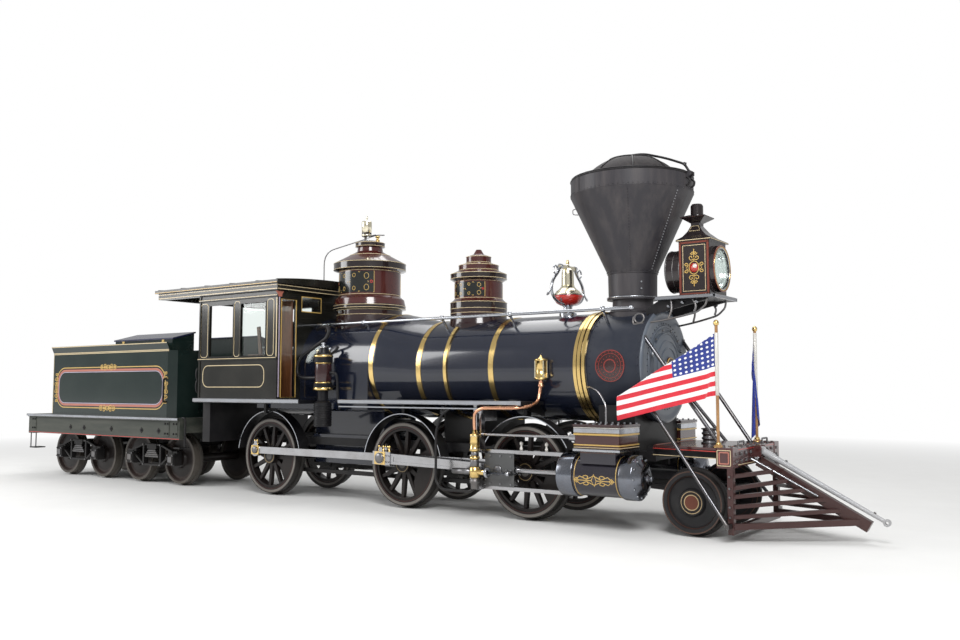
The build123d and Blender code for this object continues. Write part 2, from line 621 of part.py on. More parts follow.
def sand_dome():
    """The smaller dome between the bands."""
    body = dome(SAND_DOME_X, 2010, 330, [
        (318, 2100), (318, 2150), (320, 2199), (320, 2275), (290, 2300), (270, 2320), (270, 2510), (318, 2540),
        (318, 2600), (226, 2640), (226, 2700), (141, 2730), (141, 2800), (60, 2830), (30, 2883)])
    body = body - disc_x(0, BOILER_Z, -2000, 0, BOILER_R + GAP)
    return body - disc_x(0, BOILER_Z, HOOP_X - 20 - GAP, HOOP_X + 20 + GAP, BOILER_R + 16 + GAP)


def bell():
    """The waisted bell with its finial and the pivot pins of its yoke."""
    x = BELL_X
    z = BELL_PIVOT_Z
    shape = turned_z(x, 0, [(0, z - 62), (0, z + 75), (12, z + 68), (16, z + 28), (34, z - 5), (58, z - 28),
                            (64, z - 60), (66, z - 193), (86, z - 222), (120, z - 252), (148, z - 282),
                            (148, z - 290), (136, z - 290), (112, z - 254), (80, z - 220), (54, z - 190),
                            (50, z - 80)])
    yoke = block(x - 18, x + 18, -122, 122, z - 18, z + 18)
    return fused([shape, yoke, disc_y(x, z, -172, 172, 14)])


def lyre_arm(sign):
    """One curved arm of the bell's stand, from its foot out, up and in to the pivot."""
    x = BELL_X
    path = Spline((x, 0, 2206), (x, sign * 190, 2218), (x, sign * 312, 2280), (x, sign * 335, 2360),
                  (x, sign * 270, 2465), (x, sign * 152, BELL_PIVOT_Z),
                  tangents=[(0, sign, 0), (0, -sign * 0.6, 1)])
    return sweep(Plane(origin=path @ 0, z_dir=path % 0) * Circle(15), path=path)


def bell_stand():
    """A turned foot with a bowl on it and the lyre whose two arms hold the bell's pins."""
    x = BELL_X
    foot = turned_z(x, 0, [(0, 2040), (92, 2040), (92, 2104), (46, 2122), (46, 2176), (72, 2190), (118, 2215),
                           (156, 2268), (156, 2290), (146, 2290), (146, 2274), (110, 2232), (60, 2216), (0, 2216)])
    foot = foot - disc_x(0, BOILER_Z, -500, 900, BOILER_R + GAP)
    pieces = [foot]
    for sign in (-1, 1):
        pieces.append(lyre_arm(sign))
        pieces.append(disc_y(x, BELL_PIVOT_Z, sign * 134, sign * 166, 28))
    return fused(pieces) - disc_y(x, BELL_PIVOT_Z, -200, 200, 14 + RUNNING_FIT)


def headlight():
    """Box lamp with a pagoda roof and a flared chimney; the lens is its own piece."""
    x0 = LAMP_BACK_X
    x1 = LAMP_FRONT_X
    case = block(x0, x1, -215, 215, 2190, 2713)
    drum = disc_x(0, LAMP_Z, 1360, x0 + 5, 205)
    ring = turned_x(0, LAMP_Z, [(x1, 190), (x1, 223), (x1 + 40, 216), (x1 + 40, 190)])
    # Centre and lengths of the roof's sections: height, middle along X, length, width
    sections = ((2713, 1669, 346, 472), (2728, 1669, 346, 472), (2768, 1650, 236, 318), (2822, 1632, 150, 196),
                (2884, LAMP_CHIMNEY_X, 84, 110), (2912, LAMP_CHIMNEY_X, 84, 110))
    roof = loft([Plane.XY.offset(z) * (Pos(x, 0) * Rectangle(length, width))
                 for z, x, length, width in sections], ruled=True)
    flare = ((2908, 90), (2961, 250), (2968, 250), (2990, 122))
    brim = loft([Plane.XY.offset(z) * (Pos(LAMP_CHIMNEY_X, 0) * Rectangle(side, side)) for z, side in flare],
                ruled=True)
    cap = turned_z(LAMP_CHIMNEY_X, 0, [(0, 2970), (60, 2970), (60, 3080), (48, 3098), (0, 3098)])
    recess = disc_x(0, LAMP_Z, x1 - 130, x1 + 50, 190)
    return fused([case, drum, roof, brim, cap, ring]) - recess


def headlight_lens():
    """The lamp's round glass."""
    return disc_x(0, LAMP_Z, LAMP_FRONT_X + 19, LAMP_FRONT_X + 25, 189.7)


def headlight_shelf():
    """The shelf of the lamp and its two scrolled brackets."""
    shelf = block(1310, 1885, -290, 290, 2160, 2189.7)
    pieces = [shelf]
    for sign in (-1, 1):
        y = sign * 225
        pieces.append(flat_y([(1180, 2010), (1800, 2150), (1800, 2165), (1320, 2165), (1180, 2080)], y - 12, y + 12))
    return fused(pieces) - disc_x(0, BOILER_Z, 1000, 1215, SMOKEBOX_R + GAP) - disc_x(
        0, BOILER_Z, 1200, 1256, SMOKEBOX_R + 12 + GAP)


def splasher(axle_x):
    """A thin arched fender over the left wheel of one driving axle."""
    ring = turned_y(axle_x, DRIVER_Z, [(430, 548), (430, 554), (585, 554), (585, 548)])
    low = 720 if axle_x == DRIVER_X["front"] else 560
    return ring & block(axle_x - 700, axle_x + 700, 400, 700, low, 1500)


def running_boards():
    """Boards with splashers and brackets along the boiler, and the footplate under the cab."""
    outline = [(-2280, 616), (-1800, 616), (-1700, 450), (150, 450), (150, 880), (-2280, 880)]
    left = flat_z(outline, DECK_Z - 34, DECK_Z)
    for x in (-1300, -750, 60):
        bracket = flat_x([(300, DECK_Z - 20), (800, DECK_Z - 20), (800, DECK_Z - 50), (300, DECK_Z - 160)],
                         x - 10, x + 10)
        left = left + bracket
    left = left - disc_x(0, BOILER_Z, TAPER_FRONT_X, 300, BOILER_R + GAP)
    for name in ("front", "middle"):
        x = DRIVER_X[name]
        left = left + splasher(x) + block(x - 20, x + 20, 480, 560, DRIVER_Z + 550, DECK_Z - 20)
    floor = block(-4700, -2800, -1000, 1000, DECK_Z - 50, DECK_Z - 10)
    floor = floor - block(-3960, -2700, -WAGON_TOP_R - GAP, WAGON_TOP_R + GAP, 1000, 1300)
    x = DRIVER_X["rear"]
    hanger = block(x - 20, x + 20, 540, 650, 1010, DRIVER_Z + 554) + block(x - 20, x + 20, 620, 650, 1010, DECK_Z - 40)
    hanger = hanger - disc_y(x, DRIVER_Z, 500, 600, 548)
    floor = floor + fused(both_sides(splasher(x) + hanger))
    return both_sides(left) + [floor]


def cab_side():
    """The left cab side with two windows."""
    wall = block(CAB_REAR_X, CAB_FRONT_X, CAB_Y - CAB_WALL, CAB_Y, DECK_Z - 10, CAB_WALL_TOP_Z)
    for x0, x1 in ((-4440, -3970), (-3850, -3380)):
        wall = wall - block(x0, x1, CAB_Y - 100, CAB_Y + 100, 1700, 2360)
    return wall


def cab_front():
    """The cab's front wall around the boiler, with a doorway and a window each side."""
    wall = block(CAB_FRONT_X - CAB_WALL, CAB_FRONT_X, -CAB_Y + CAB_WALL, CAB_Y - CAB_WALL, DECK_Z - 10,
                 CAB_WALL_TOP_Z)
    wall = wall - disc_x(0, WAGON_TOP_Z, -3400, -3000, WAGON_TOP_R + GAP)
    wall = wall - block(-3400, -3000, -WAGON_TOP_R - GAP, WAGON_TOP_R + GAP, 1000, WAGON_TOP_Z)
    for sign in (-1, 1):
        y = sorted((sign * 690, sign * 925))
        wall = wall - block(-3400, -3000, y[0], y[1], DECK_Z + 20, 2380)
        y = sorted((sign * 275, sign * 600))
        wall = wall - block(-3400, -3000, y[0], y[1], 2250, 2430)
        x = CAB_DOOR_HINGE_X
        y = sign * CAB_DOOR_HINGE_Y
        for low, high, reach in ((CAB_DOOR_BOTTOM_Z - 18, CAB_DOOR_BOTTOM_Z - 5, CAB_DOOR_BOTTOM_Z + 30),
                                 (CAB_DOOR_TOP_Z + 5, CAB_DOOR_TOP_Z + 18, CAB_DOOR_TOP_Z - 30)):
            wall = wall + block(x - 14, CAB_FRONT_X - 5, y - 12, y + 12, low, high)
            wall = wall + rod((x, y, (low + high) / 2), (x, y, reach), 6)
    return wall


def cab_roof():
    """The arched roof with its deep cornice."""
    half = ROOF_Y
    rise = 60.0
    top = 2600.0
    radius = (half * half + rise * rise) / (2 * rise)
    slab = Pos(0, 0, top + rise - radius) * (rod((ROOF_REAR_X, 0, 0), (ROOF_FRONT_X, 0, 0), radius))
    slab = slab & block(ROOF_REAR_X, ROOF_FRONT_X, -half, half, 2000, 3000)
    under = block(ROOF_REAR_X - 5, ROOF_FRONT_X + 5, -half - 5, half + 5, 1900, 2560)
    shell = slab - under
    cornice = block(ROOF_REAR_X + 40, ROOF_FRONT_X - 30, -half + 30, half - 30, CAB_WALL_TOP_Z, 2565)
    inside = block(ROOF_REAR_X + 80, ROOF_FRONT_X - 110, -half + 115, half - 115, 2400, 2600)
    return shell + (cornice - inside)


def cab_door():
    """The left front door of the cab, standing open into the cab."""
    x = CAB_DOOR_HINGE_X
    y = CAB_DOOR_HINGE_Y
    leaf = block(x - 220, x, y - 10, y + 10, CAB_DOOR_BOTTOM_Z, CAB_DOOR_TOP_Z)
    barrel = rod((x, y, CAB_DOOR_BOTTOM_Z), (x, y, CAB_DOOR_TOP_Z), 11)
    return leaf + barrel - rod((x, y, 1000), (x, y, 2600), 6 + RUNNING_FIT)


def cab_glass():
    """Panes in the front side windows and in the windows beside the boiler."""
    y = CAB_Y - CAB_WALL / 2
    side = block(-3850, -3380, y - 2, y + 2, 1700, 2360)
    x = CAB_FRONT_X - CAB_WALL / 2
    front = block(x - 2, x + 2, 275, 600, 2250, 2430)
    return both_sides(side) + both_sides(front)


def fire_door():
    """The round fire hole door on the back head with its hinge barrel."""
    x = BOILER_BACK_X
    leaf = turned_x(0, FIRE_DOOR_Z, [(x - GAP, 0), (x - GAP, 170), (x - 22, 165), (x - 40, 90), (x - 40, 0)])
    hinge_x, hinge_y = FIRE_HINGE
    strap = block(hinge_x - 8, hinge_x + 4, 60, hinge_y, FIRE_DOOR_Z - 28, FIRE_DOOR_Z + 28)
    barrel = rod((hinge_x, hinge_y, FIRE_DOOR_Z - 36), (hinge_x, hinge_y, FIRE_DOOR_Z + 36), 12)
    return fused([leaf, strap, barrel])


def cab_fittings():
    """Seat boxes, the reverse lever and the throttle seen through the windows."""
    seats = both_sides(block(-4560, -3960, 640, 940, DECK_Z - 10, 1620))
    lever = flat_bar((-3700, -720, DECK_Z + 5), (-3820, -720, 2080), 50, 20, (0, 1, 0))
    quadrant = block(-3980, -3560, -745, -728, 1700, 1740)
    quadrant_leg = block(-3580, -3560, -745, -728, DECK_Z - 10, 1720)
    throttle = fused([disc_x(0, 2010, -4350, BOILER_BACK_X, 18), disc_y(-4340, 2010, -30, 240, 14)])
    return seats + [fused([quadrant, quadrant_leg, lever]), throttle]


def pilot_deck():
    """The front beam and the deck behind it."""
    beam = block(2010, PILOT_BEAM_X, -640, 640, PILOT_BEAM_BOTTOM_Z, PILOT_BEAM_TOP_Z)
    deck = flat_z([(1340, -460), (2020, -600), (2020, 600), (1340, 460)], 780, 800)
    bracket = block(PILOT_BEAM_X, 2215, -75, 75, 700, 800) - block(2150.1, 2300, -40, 40, 600, 900)
    sides = [flat_bar((1340, y, 745), (2020, y * 1.27, 745), 90, 50, (0, 0, 1)) for y in (-450, 450)]
    pin = disc_y(2195, 757, -80, 80, 16)
    return fused([beam, deck, bracket, pin])


def coupling_bar():
    """The long tapered link bar over the pilot's nose, with a pin hole in its outer eye."""
    start = (2195, 0, 757)
    end = (FRONT_TIP_X - 30, 0, 190)
    bar = tapered_rod(start, end, [(0, 0), (0, 34), (0.1, 34), (0.15, 27), (1, 17), (1, 0)])
    eye = disc_y(start[0], start[2], -34, 34, 36)
    tip = disc_y(end[0], end[2], -20, 20, 30)
    whole = fused([bar, eye, tip]) - disc_y(end[0], end[2], -90, 90, LINK_HOLE_R)
    return whole - disc_y(start[0], start[2], -90, 90, 16 + RUNNING_FIT)


def pilot():
    """The slatted pilot: a ridge beam, two rear posts and bowed slats on each side."""
    back = PILOT_BEAM_X - 40
    ridge = flat_bar((back + 60, 0, 665), (3110, 0, 145), 98, 70, (0, 1, 0))
    pieces = [ridge]
    # Height at the post, where the slat meets the ridge as x and z, and how tall the slat is
    table = ((563, 2380, 587, 32), (462, 2500, 511, 32), (389, 2630, 432, 32), (304, 2770, 354, 32),
             (218, 2900, 268, 32), (136, 3060, 182, 52))
    for sign in (-1, 1):
        pieces.append(block(back - 5, back + 45, sign * 620 - 30, sign * 620 + 30, 70, PILOT_BEAM_BOTTOM_Z))
        for post_z, tip_x, tip_z, tall in table:
            pieces.append(flat_bar((back + 20, sign * 620, post_z), (tip_x, 0, tip_z), 40, tall, (0, 0, 1)))
    foot = block(back - 5, back + 45, -620, 620, 70, 130)
    return fused(pieces + [foot])


def braces():
    """Round braces from the smokebox front to the deck."""
    bars = []
    face = SMOKEBOX_FRONT_X + GAP
    for sign in (-1, 1):
        y = sign * 452
        foot_y = sign * 400
        palm = block(face, face + 22, y - 24, y + 24, 1770, 1818)
        foot = block(1930, 1990, foot_y - 32, foot_y + 32, PILOT_BEAM_TOP_Z + GAP, PILOT_BEAM_TOP_Z + 14)
        bar = rod((face + 12, y, 1794), (1960, foot_y, PILOT_BEAM_TOP_Z + 8), 18)
        bars.append(fused([palm, foot, bar & block(face, 2100, -600, 600, PILOT_BEAM_TOP_Z + GAP, 1900)]))
        side = rod((1225, sign * 525, 1330), (2128, sign * 730, 150), 17)
        side = side - disc_x(0, BOILER_Z, 1100, 1400, SMOKEBOX_R + 12 + GAP)
        clip_y = sorted((sign * (650 + GAP), sign * 745))
        bars.append(fused([side, block(2110, 2146, clip_y[0], clip_y[1], 130, 170)]))
    return bars


def flag_staffs():
    """Two staffs with turned bases at the front of the deck."""
    staffs = []
    for sign in (-1, 1):
        y = sign * 520
        staffs.append(turned_z(1985, y, [(0, PILOT_BEAM_TOP_Z), (45, PILOT_BEAM_TOP_Z), (45, 812), (20, 830),
                                         (14, 850), (14, 1880), (22, 1900), (0, 1925)]))
    return staffs


def flag(sign):
    """A plain slab where the cloth of a flag hangs."""
    hoist_x = 1985 - 14 - GAP
    if sign < 0:
        side_view = flat_y([(hoist_x, 1250), (hoist_x, 1820), (1080, 1550), (1040, 1130)], -800, -400)
        plan = flat_z([(hoist_x, -580), (hoist_x, -490), (1400, -565), (1040, -605), (1040, -730), (1400, -690)],
                      1000, 2000)
        return side_view & plan
    return block(hoist_x - 190, hoist_x, 460, 580, 950, 1860)


def air_pump():
    """The air pump on the right side in front of the cab."""
    x = -2640
    y = -(WAGON_TOP_R + 158)
    body = turned_z(x, y, [(0, 1290), (75, 1290), (110, 1310), (110, 1370), (92, 1390), (92, 1600), (110, 1620),
                           (110, 1690), (60, 1730), (40, 1790), (0, 1790)])
    lower = turned_z(x, y, [(0, 880), (100, 880), (100, 1150), (60, 1180), (60, 1290), (0, 1290)])
    bracket = block(x - 60, x + 60, y, -WAGON_TOP_R - GAP, 1330, 1350)
    return fused([body, lower, bracket])


def handrails():
    """Polished rails along the boiler on their stanchions."""
    angle = math.radians(50)
    reach = 720
    rails = []
    for sign in (-1, 1):
        y = sign * reach * math.cos(angle)
        z = BOILER_Z + reach * math.sin(angle)
        pieces = [rod((CAB_FRONT_X + GAP, y, z), (1130, y, z), 17)]
        for x in (-2300, -1140, -250, 830):
            inner = WAGON_TOP_R if x < TAPER_REAR_X else SMOKEBOX_R - 12
            centre = WAGON_TOP_Z if x < TAPER_REAR_X else BOILER_Z
            foot = (x, sign * inner * math.cos(angle), centre + inner * math.sin(angle))
            pieces.append(rod(foot, (x, y, z), 14))
        rail = fused(pieces)
        rail = rail - disc_x(0, WAGON_TOP_Z, -4000, TAPER_REAR_X, WAGON_TOP_R)
        rail = rail - disc_x(0, BOILER_Z, TAPER_FRONT_X, SMOKEBOX_BACK_X, BOILER_R)
        rails.append(rail - disc_x(0, BOILER_Z, SMOKEBOX_BACK_X, SMOKEBOX_FRONT_X, SMOKEBOX_R))
    return rails


def feed_pipes():
    """The right side's check valve, feed pump and the copper pipe between them."""
    pump_x = -520
    pump = turned_z(pump_x, -850, [(0, 380), (52, 380), (52, 560), (36, 590), (36, 700), (52, 730), (52, 845), (0, 860)])
    bracket = block(-500, -470 - GAP, -860, -700, 700, 760)
    valve_x = 210
    valve_y = -(BOILER_R + 52)
    valve = block(valve_x - 55, valve_x + 55, valve_y - 40, valve_y + 40, 1410, 1600)
    cap = turned_z(valve_x, valve_y, [(0, 1600), (48, 1600), (48, 1640), (0, 1660)])
    elbow = disc_y(valve_x, 1500, valve_y, valve_y + 70, 40) - disc_x(0, BOILER_Z, -500, 500, BOILER_R + GAP)
    route = [(valve_x, valve_y, 1430), (valve_x, valve_y - 20, 1230), (valve_x - 20, -800, 1130),
             (valve_x - 110, -900, 1115),
             (-430, -900, 1110), (pump_x, -880, 1040), (pump_x, -850, 850)]
    pieces = [pump, bracket, valve, cap, elbow]
    for index in range(len(route) - 1):
        pieces.append(rod(route[index], route[index + 1], 20))
        pieces.append(Pos(*route[index + 1]) * Sphere(20))
    return fused(pieces)


# Tender

def tender_frame():
    """Deck, end beams, outer and centre sills, body bolsters with their centre plates, draw casting and tongue."""
    under_deck = TENDER_DECK_Z - 40
    pieces = [block(TENDER_REAR_X, TENDER_FRONT_X, -TENDER_Y - 30, TENDER_Y + 30, under_deck, TENDER_DECK_Z),
              block(TENDER_REAR_X - 20, TENDER_REAR_X + 120, -TENDER_Y, TENDER_Y, 640, under_deck)]
    for sign in (-1, 1):
        y = sorted((sign * (TENDER_Y - 90), sign * TENDER_Y))
        pieces.append(block(TENDER_REAR_X, TENDER_FRONT_X, y[0], y[1], TENDER_SILL_BOTTOM_Z, under_deck))
        y = sorted((sign * 130, sign * 230))
        pieces.append(block(TENDER_REAR_X, TENDER_FRONT_X, y[0], y[1], 720, under_deck))
    pieces.append(block(TENDER_FRONT_X - 120, TENDER_FRONT_X, -TENDER_Y, TENDER_Y, 735, under_deck))
    z = TRUCK_WHEEL_R + FLANGE
    for x in TRUCK_X.values():
        pieces.append(block(x - 90, x + 90, -TENDER_Y + 90, TENDER_Y - 90, 740, 800))
        pieces.append(block(x - 130, x + 130, -240, 240, z + 230 + GAP, 720))
        pieces.append(block(x - 130, x + 130, -130, 130, 720, 740))
        pieces.append(rod((x, 0, z + 120), (x, 0, 700), 35))
    draw = block(REAR_TIP_X, TENDER_REAR_X, -130, 130, 700, 860)
    draw = draw - block(REAR_TIP_X - 10, TENDER_REAR_X - 30, -70, 70, 745, 815)
    draw = draw - rod((REAR_TIP_X + 35, 0, 650), (REAR_TIP_X + 35, 0, 900), COUPLING_HOLE_R)
    tongue = block(TENDER_FRONT_X - 20, DRAWBAR_X + 60, -90, 90, 840, 880)
    tongue = tongue - rod((DRAWBAR_X, 0, 800), (DRAWBAR_X, 0, 905), 28 + RUNNING_FIT)
    return laid_together(pieces + [draw, tongue])


def tender_tank():
    """The horseshoe tank with the open fuel space between its legs and the water hatch's well."""
    outline = [(TANK_REAR_X, -TENDER_Y), (TANK_FRONT_X - 90, -TENDER_Y), (TANK_FRONT_X, -TENDER_Y + 90),
               (TANK_FRONT_X, TENDER_Y - 90), (TANK_FRONT_X - 90, TENDER_Y), (TANK_REAR_X, TENDER_Y)]
    tank = flat_z(outline, TENDER_DECK_Z, TANK_TOP_Z)
    fuel = block(-7050, TANK_FRONT_X + 50, -520, 520, TENDER_DECK_Z + 60, TANK_TOP_Z + 50)
    return tank - fuel - rod((HATCH_X, 0, 1500), (HATCH_X, 0, TANK_TOP_Z + 50), 200)


def tender_coping():
    """The flared board round the tank's top edge."""
    pieces = []
    for sign in (-1, 1):
        y = sign * TENDER_Y
        pieces.append(flat_x([(y, TANK_TOP_Z), (y + sign * 45, TANK_COPING_Z), (y + sign * 25, TANK_COPING_Z),
                              (y - sign * 20, TANK_TOP_Z)], TANK_REAR_X, TANK_FRONT_X - 60))
    pieces.append(flat_y([(TANK_REAR_X, TANK_TOP_Z), (TANK_REAR_X - 45, TANK_COPING_Z),
                          (TANK_REAR_X - 25, TANK_COPING_Z), (TANK_REAR_X + 20, TANK_TOP_Z)], -TENDER_Y, TENDER_Y))
    return fused([pieces[2], pieces[0], pieces[1]])


def tool_box():
    """The left tool box on the tank's front leg, open under its lid."""
    box = flat_x([(560, TANK_TOP_Z), (560, 2056), (900, 1967), (900, TANK_TOP_Z)], -6590, -5300)
    return box - block(-6565, -5325, 585, 875, TANK_TOP_Z + 25, 2100)


def tool_box_lid():
    """Its sloping lid."""
    y, z = BOX_LID_HINGE
    leaf = flat_x([(y + 8, 2060), (912, 1965), (912, 1985), (y + 8, 2080)], -6610, -5280)
    return leaf + disc_x(y, z, -6560, -5330, 10)


def hatch_collar():
    """The raised collar of the water hatch."""
    return turned_z(HATCH_X, 0, [(200, TANK_TOP_Z), (240, TANK_TOP_Z), (240, 1960), (200, 1960)])


def hatch_lid():
    """The water hatch's round lid."""
    lid = turned_z(HATCH_X, 0, [(0, 1960.3), (262, 1960.3), (262, 1975), (60, 2000), (0, 2000)])
    x, z = HATCH_HINGE
    return fused([lid, block(x, x + 30, -50, 50, z - 8, z + 4), disc_y(x, z, -60, 60, 10)])


for name in DRIVER_X:
    save(f"drivers_{name}", driving_wheelset(name))
save("side_rod_left", side_rod(CRANK_ANGLE_LEFT))
save("side_rod_right", mirrored(side_rod(CRANK_ANGLE_RIGHT)))
save("main_rod_left", main_rod(CRANK_ANGLE_LEFT))
save("main_rod_right", mirrored(main_rod(CRANK_ANGLE_RIGHT)))
save("crosshead_left", crosshead(CRANK_ANGLE_LEFT))
save("crosshead_right", mirrored(crosshead(CRANK_ANGLE_RIGHT)))
save("guides", both_sides(guides()))
save("cylinders", both_sides(cylinder()))
save("pony_wheelset", disc_wheelset(PONY_X, PONY_R, 400))
save("pony_frame", pony_frame())
for name, x in TRUCK_X.items():
    save(f"truck_{name}_frame", truck_frame(x))
    save(f"truck_{name}_wheelset_a", disc_wheelset(x + TRUCK_HALF_BASE, TRUCK_WHEEL_R, 655))
    save(f"truck_{name}_wheelset_b", disc_wheelset(x - TRUCK_HALF_BASE, TRUCK_WHEEL_R, 655))
save("engine_frame", engine_frame())
save("boiler", boiler())
save("boiler_bands", boiler_bands())
save("smokebox", smokebox())
save("smokebox_door", smokebox_door())
save("saddle", saddle())
save("stack", stack())
save("stack_bonnet", stack_bonnet())
save("steam_dome", steam_dome())
save("sand_dome", sand_dome())
save("bell", bell())
save("bell_stand", bell_stand())
save("headlight", headlight())
save("headlight_lens", headlight_lens())
save("headlight_shelf", headlight_shelf())
save("running_boards", running_boards())
save("cab_sides", both_sides(cab_side()))
save("cab_front", cab_front())
save("cab_roof", cab_roof())
save("cab_door_left", cab_door())
save("cab_door_right", mirrored(cab_door()))
save("cab_glass", cab_glass())
save("fire_door", fire_door())
save("cab_fittings", cab_fittings())
save("pilot_deck", pilot_deck())
save("coupling_bar", coupling_bar())
save("pilot", pilot())
save("braces", braces())
save("flag_staffs", flag_staffs())
save("flag_right", flag(-1))
save("flag_left", flag(1))
save("air_pump", air_pump())
save("handrails", handrails())
save("feed_pipes", feed_pipes())
save("tender_frame", tender_frame())
save("tender_tank", tender_tank())
save("tender_top", [tender_coping(), hatch_collar()] + both_sides(tool_box()))
save("tool_box_lid_left", tool_box_lid())
save("tool_box_lid_right", mirrored(tool_box_lid()))
save("hatch_lid", hatch_lid())
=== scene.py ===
import bpy
import math
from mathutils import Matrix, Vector


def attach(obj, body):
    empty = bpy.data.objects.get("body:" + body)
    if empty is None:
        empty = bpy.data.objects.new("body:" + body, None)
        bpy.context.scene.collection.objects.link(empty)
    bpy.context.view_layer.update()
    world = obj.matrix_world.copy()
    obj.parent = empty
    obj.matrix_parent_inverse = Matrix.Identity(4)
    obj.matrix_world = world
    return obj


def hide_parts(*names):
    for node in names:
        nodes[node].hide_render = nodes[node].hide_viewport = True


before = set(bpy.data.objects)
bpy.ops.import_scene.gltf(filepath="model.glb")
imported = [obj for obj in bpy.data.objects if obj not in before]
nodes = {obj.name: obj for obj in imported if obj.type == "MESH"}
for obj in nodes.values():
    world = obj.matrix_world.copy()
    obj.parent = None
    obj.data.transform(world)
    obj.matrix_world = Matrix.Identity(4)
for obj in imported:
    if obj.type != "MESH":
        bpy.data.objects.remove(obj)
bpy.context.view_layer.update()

# Places are given as on the engine's drawing, in millimetres: X forward from
# the front driving axle, Y to the left and Z up from the wheels' flanges.
# place() turns them into the scene's metres.
MID_X = -2762.0
DRIVERS = {"drivers_front": 0.0, "drivers_middle": -1606.0, "drivers_rear": -3760.0}
MIDDLE_DRIVER_X = DRIVERS["drivers_middle"]
DRIVER_Z = 484.0
CRANK = 203.0
SIDE_ROD_Y = 612.0
CYLINDER_Y, CYLINDER_Z = 700.0, 510.0
PONY_AXLE = (1738.0, 306.0)
BOILER_Z = 1535.0
SMOKEBOX_X, SMOKEBOX_R = 939, 540
JACKET_R = 548.0
WRAPPER_Z, WRAPPER_R = 1580.0, 612.0
STACK_X = 930.0
BELL_X = 180
STEAM_DOME_X, SAND_DOME_X = -2627.0, -975.0
AIR_PUMP = (-2640, -770, 0)
PUMP_X, PUMP_Y, PLUNGER_Z = -420.0, -850.0, 485.0
CHECK_VALVE = (210, -600, 0)
LAMP_X, LAMP_Z, LAMP_SIDE_Y = 1667.0, 2455.0, 215.0
LAMP_GLASS = (0, 0, 2452)
STAFF_X, STAFF_Y = 1985, 520
CAB_SIDE_Y = 985.0
TANK_SIDE_Y = 950.0
TRUCKS = {"front": -6035.0, "rear": -7840.0}
TRUCK_AXLE_X, TRUCK_AXLE_Z = 460, 357.0


def place(point):
    """A point of the drawing as a point of the scene."""
    return Vector(((point[0] - MID_X) / 1000, point[1] / 1000, point[2] / 1000))


# Camera

camera_data = bpy.data.cameras.new("camera")
camera_data.sensor_width = 36.0
camera_data.lens = 33.79
camera = bpy.data.objects.new("camera", camera_data)
camera.location = (7.656, -8.259, 1.330)
camera.rotation_euler = (math.radians(90 + 4.272), 0.0, math.radians(35.314))
bpy.context.scene.collection.objects.link(camera)
bpy.context.scene.camera = camera


# Shader node groups

def new_group(name, inputs, outputs):
    """An empty shader group; inputs are (name, kind, value) and outputs (name, kind)."""
    group = bpy.data.node_groups.new(name, "ShaderNodeTree")
    for socket_name, kind, value in inputs:
        socket = group.interface.new_socket(socket_name, in_out="INPUT", socket_type=kind)
        socket.default_value = value
    for socket_name, kind in outputs:
        group.interface.new_socket(socket_name, in_out="OUTPUT", socket_type=kind)
    return group, group.nodes.new("NodeGroupInput"), group.nodes.new("NodeGroupOutput")


def math_node(tree, operation, first, second=None, clamp=False):
    """A math node on two values or sockets; its output is returned."""
    node = tree.nodes.new("ShaderNodeMath")
    node.operation = operation
    node.use_clamp = clamp
    for index, value in enumerate((first, second)):
        if value is None:
            continue
        if isinstance(value, (int, float)):
            node.inputs[index].default_value = value
        else:
            tree.links.new(value, node.inputs[index])
    return node.outputs[0]


def mix_colour(tree, factor, first, second, blend="MIX"):
    """Two colours or sockets mixed by a factor."""
    node = tree.nodes.new("ShaderNodeMix")
    node.data_type = "RGBA"
    node.blend_type = blend
    for index, value in ((0, factor), (6, first), (7, second)):
        if isinstance(value, bpy.types.NodeSocket):
            tree.links.new(value, node.inputs[index])
        elif index == 0:
            node.inputs[index].default_value = value
        else:
            node.inputs[index].default_value = (*value, 1.0)
    return node.outputs[2]


def stretched_noise(tree, scale, stretch, detail, rough):
    """Noise on the object's own coordinates, stretched by a vector socket or a tuple."""
    coordinates = tree.nodes.new("ShaderNodeTexCoord")
    mapping = tree.nodes.new("ShaderNodeMapping")
    noise = tree.nodes.new("ShaderNodeTexNoise")
    tree.links.new(coordinates.outputs["Object"], mapping.inputs["Vector"])
    tree.links.new(mapping.outputs["Vector"], noise.inputs["Vector"])
    if isinstance(stretch, tuple):
        mapping.inputs["Scale"].default_value = stretch
    else:
        tree.links.new(stretch, mapping.inputs["Scale"])
    if isinstance(scale, (int, float)):
        noise.inputs["Scale"].default_value = scale
    else:
        tree.links.new(scale, noise.inputs["Scale"])
    noise.inputs["Detail"].default_value = detail
    noise.inputs["Roughness"].default_value = rough
    return noise.outputs["Fac"]


def object_axes(tree):
    """The three parts of a piece's own coordinates, in metres."""
    coordinates = tree.nodes.new("ShaderNodeTexCoord")
    parts = tree.nodes.new("ShaderNodeSeparateXYZ")
    tree.links.new(coordinates.outputs["Object"], parts.inputs[0])
    return parts.outputs


def cloth_axes(tree):
    """The cloth's own UV coordinates: the whole vector, along the fly and down the hoist."""
    uv = tree.nodes.new("ShaderNodeUVMap")
    parts = tree.nodes.new("ShaderNodeSeparateXYZ")
    tree.links.new(uv.outputs[0], parts.inputs[0])
    return uv.outputs[0], parts.outputs["X"], parts.outputs["Y"]


def spread(tree, value, low, high):
    """A value spread from 0 at low to 1 at high."""
    node = tree.nodes.new("ShaderNodeMapRange")
    node.inputs["From Min"].default_value = low
    node.inputs["From Max"].default_value = high
    tree.links.new(value, node.inputs["Value"])
    return node.outputs[0]


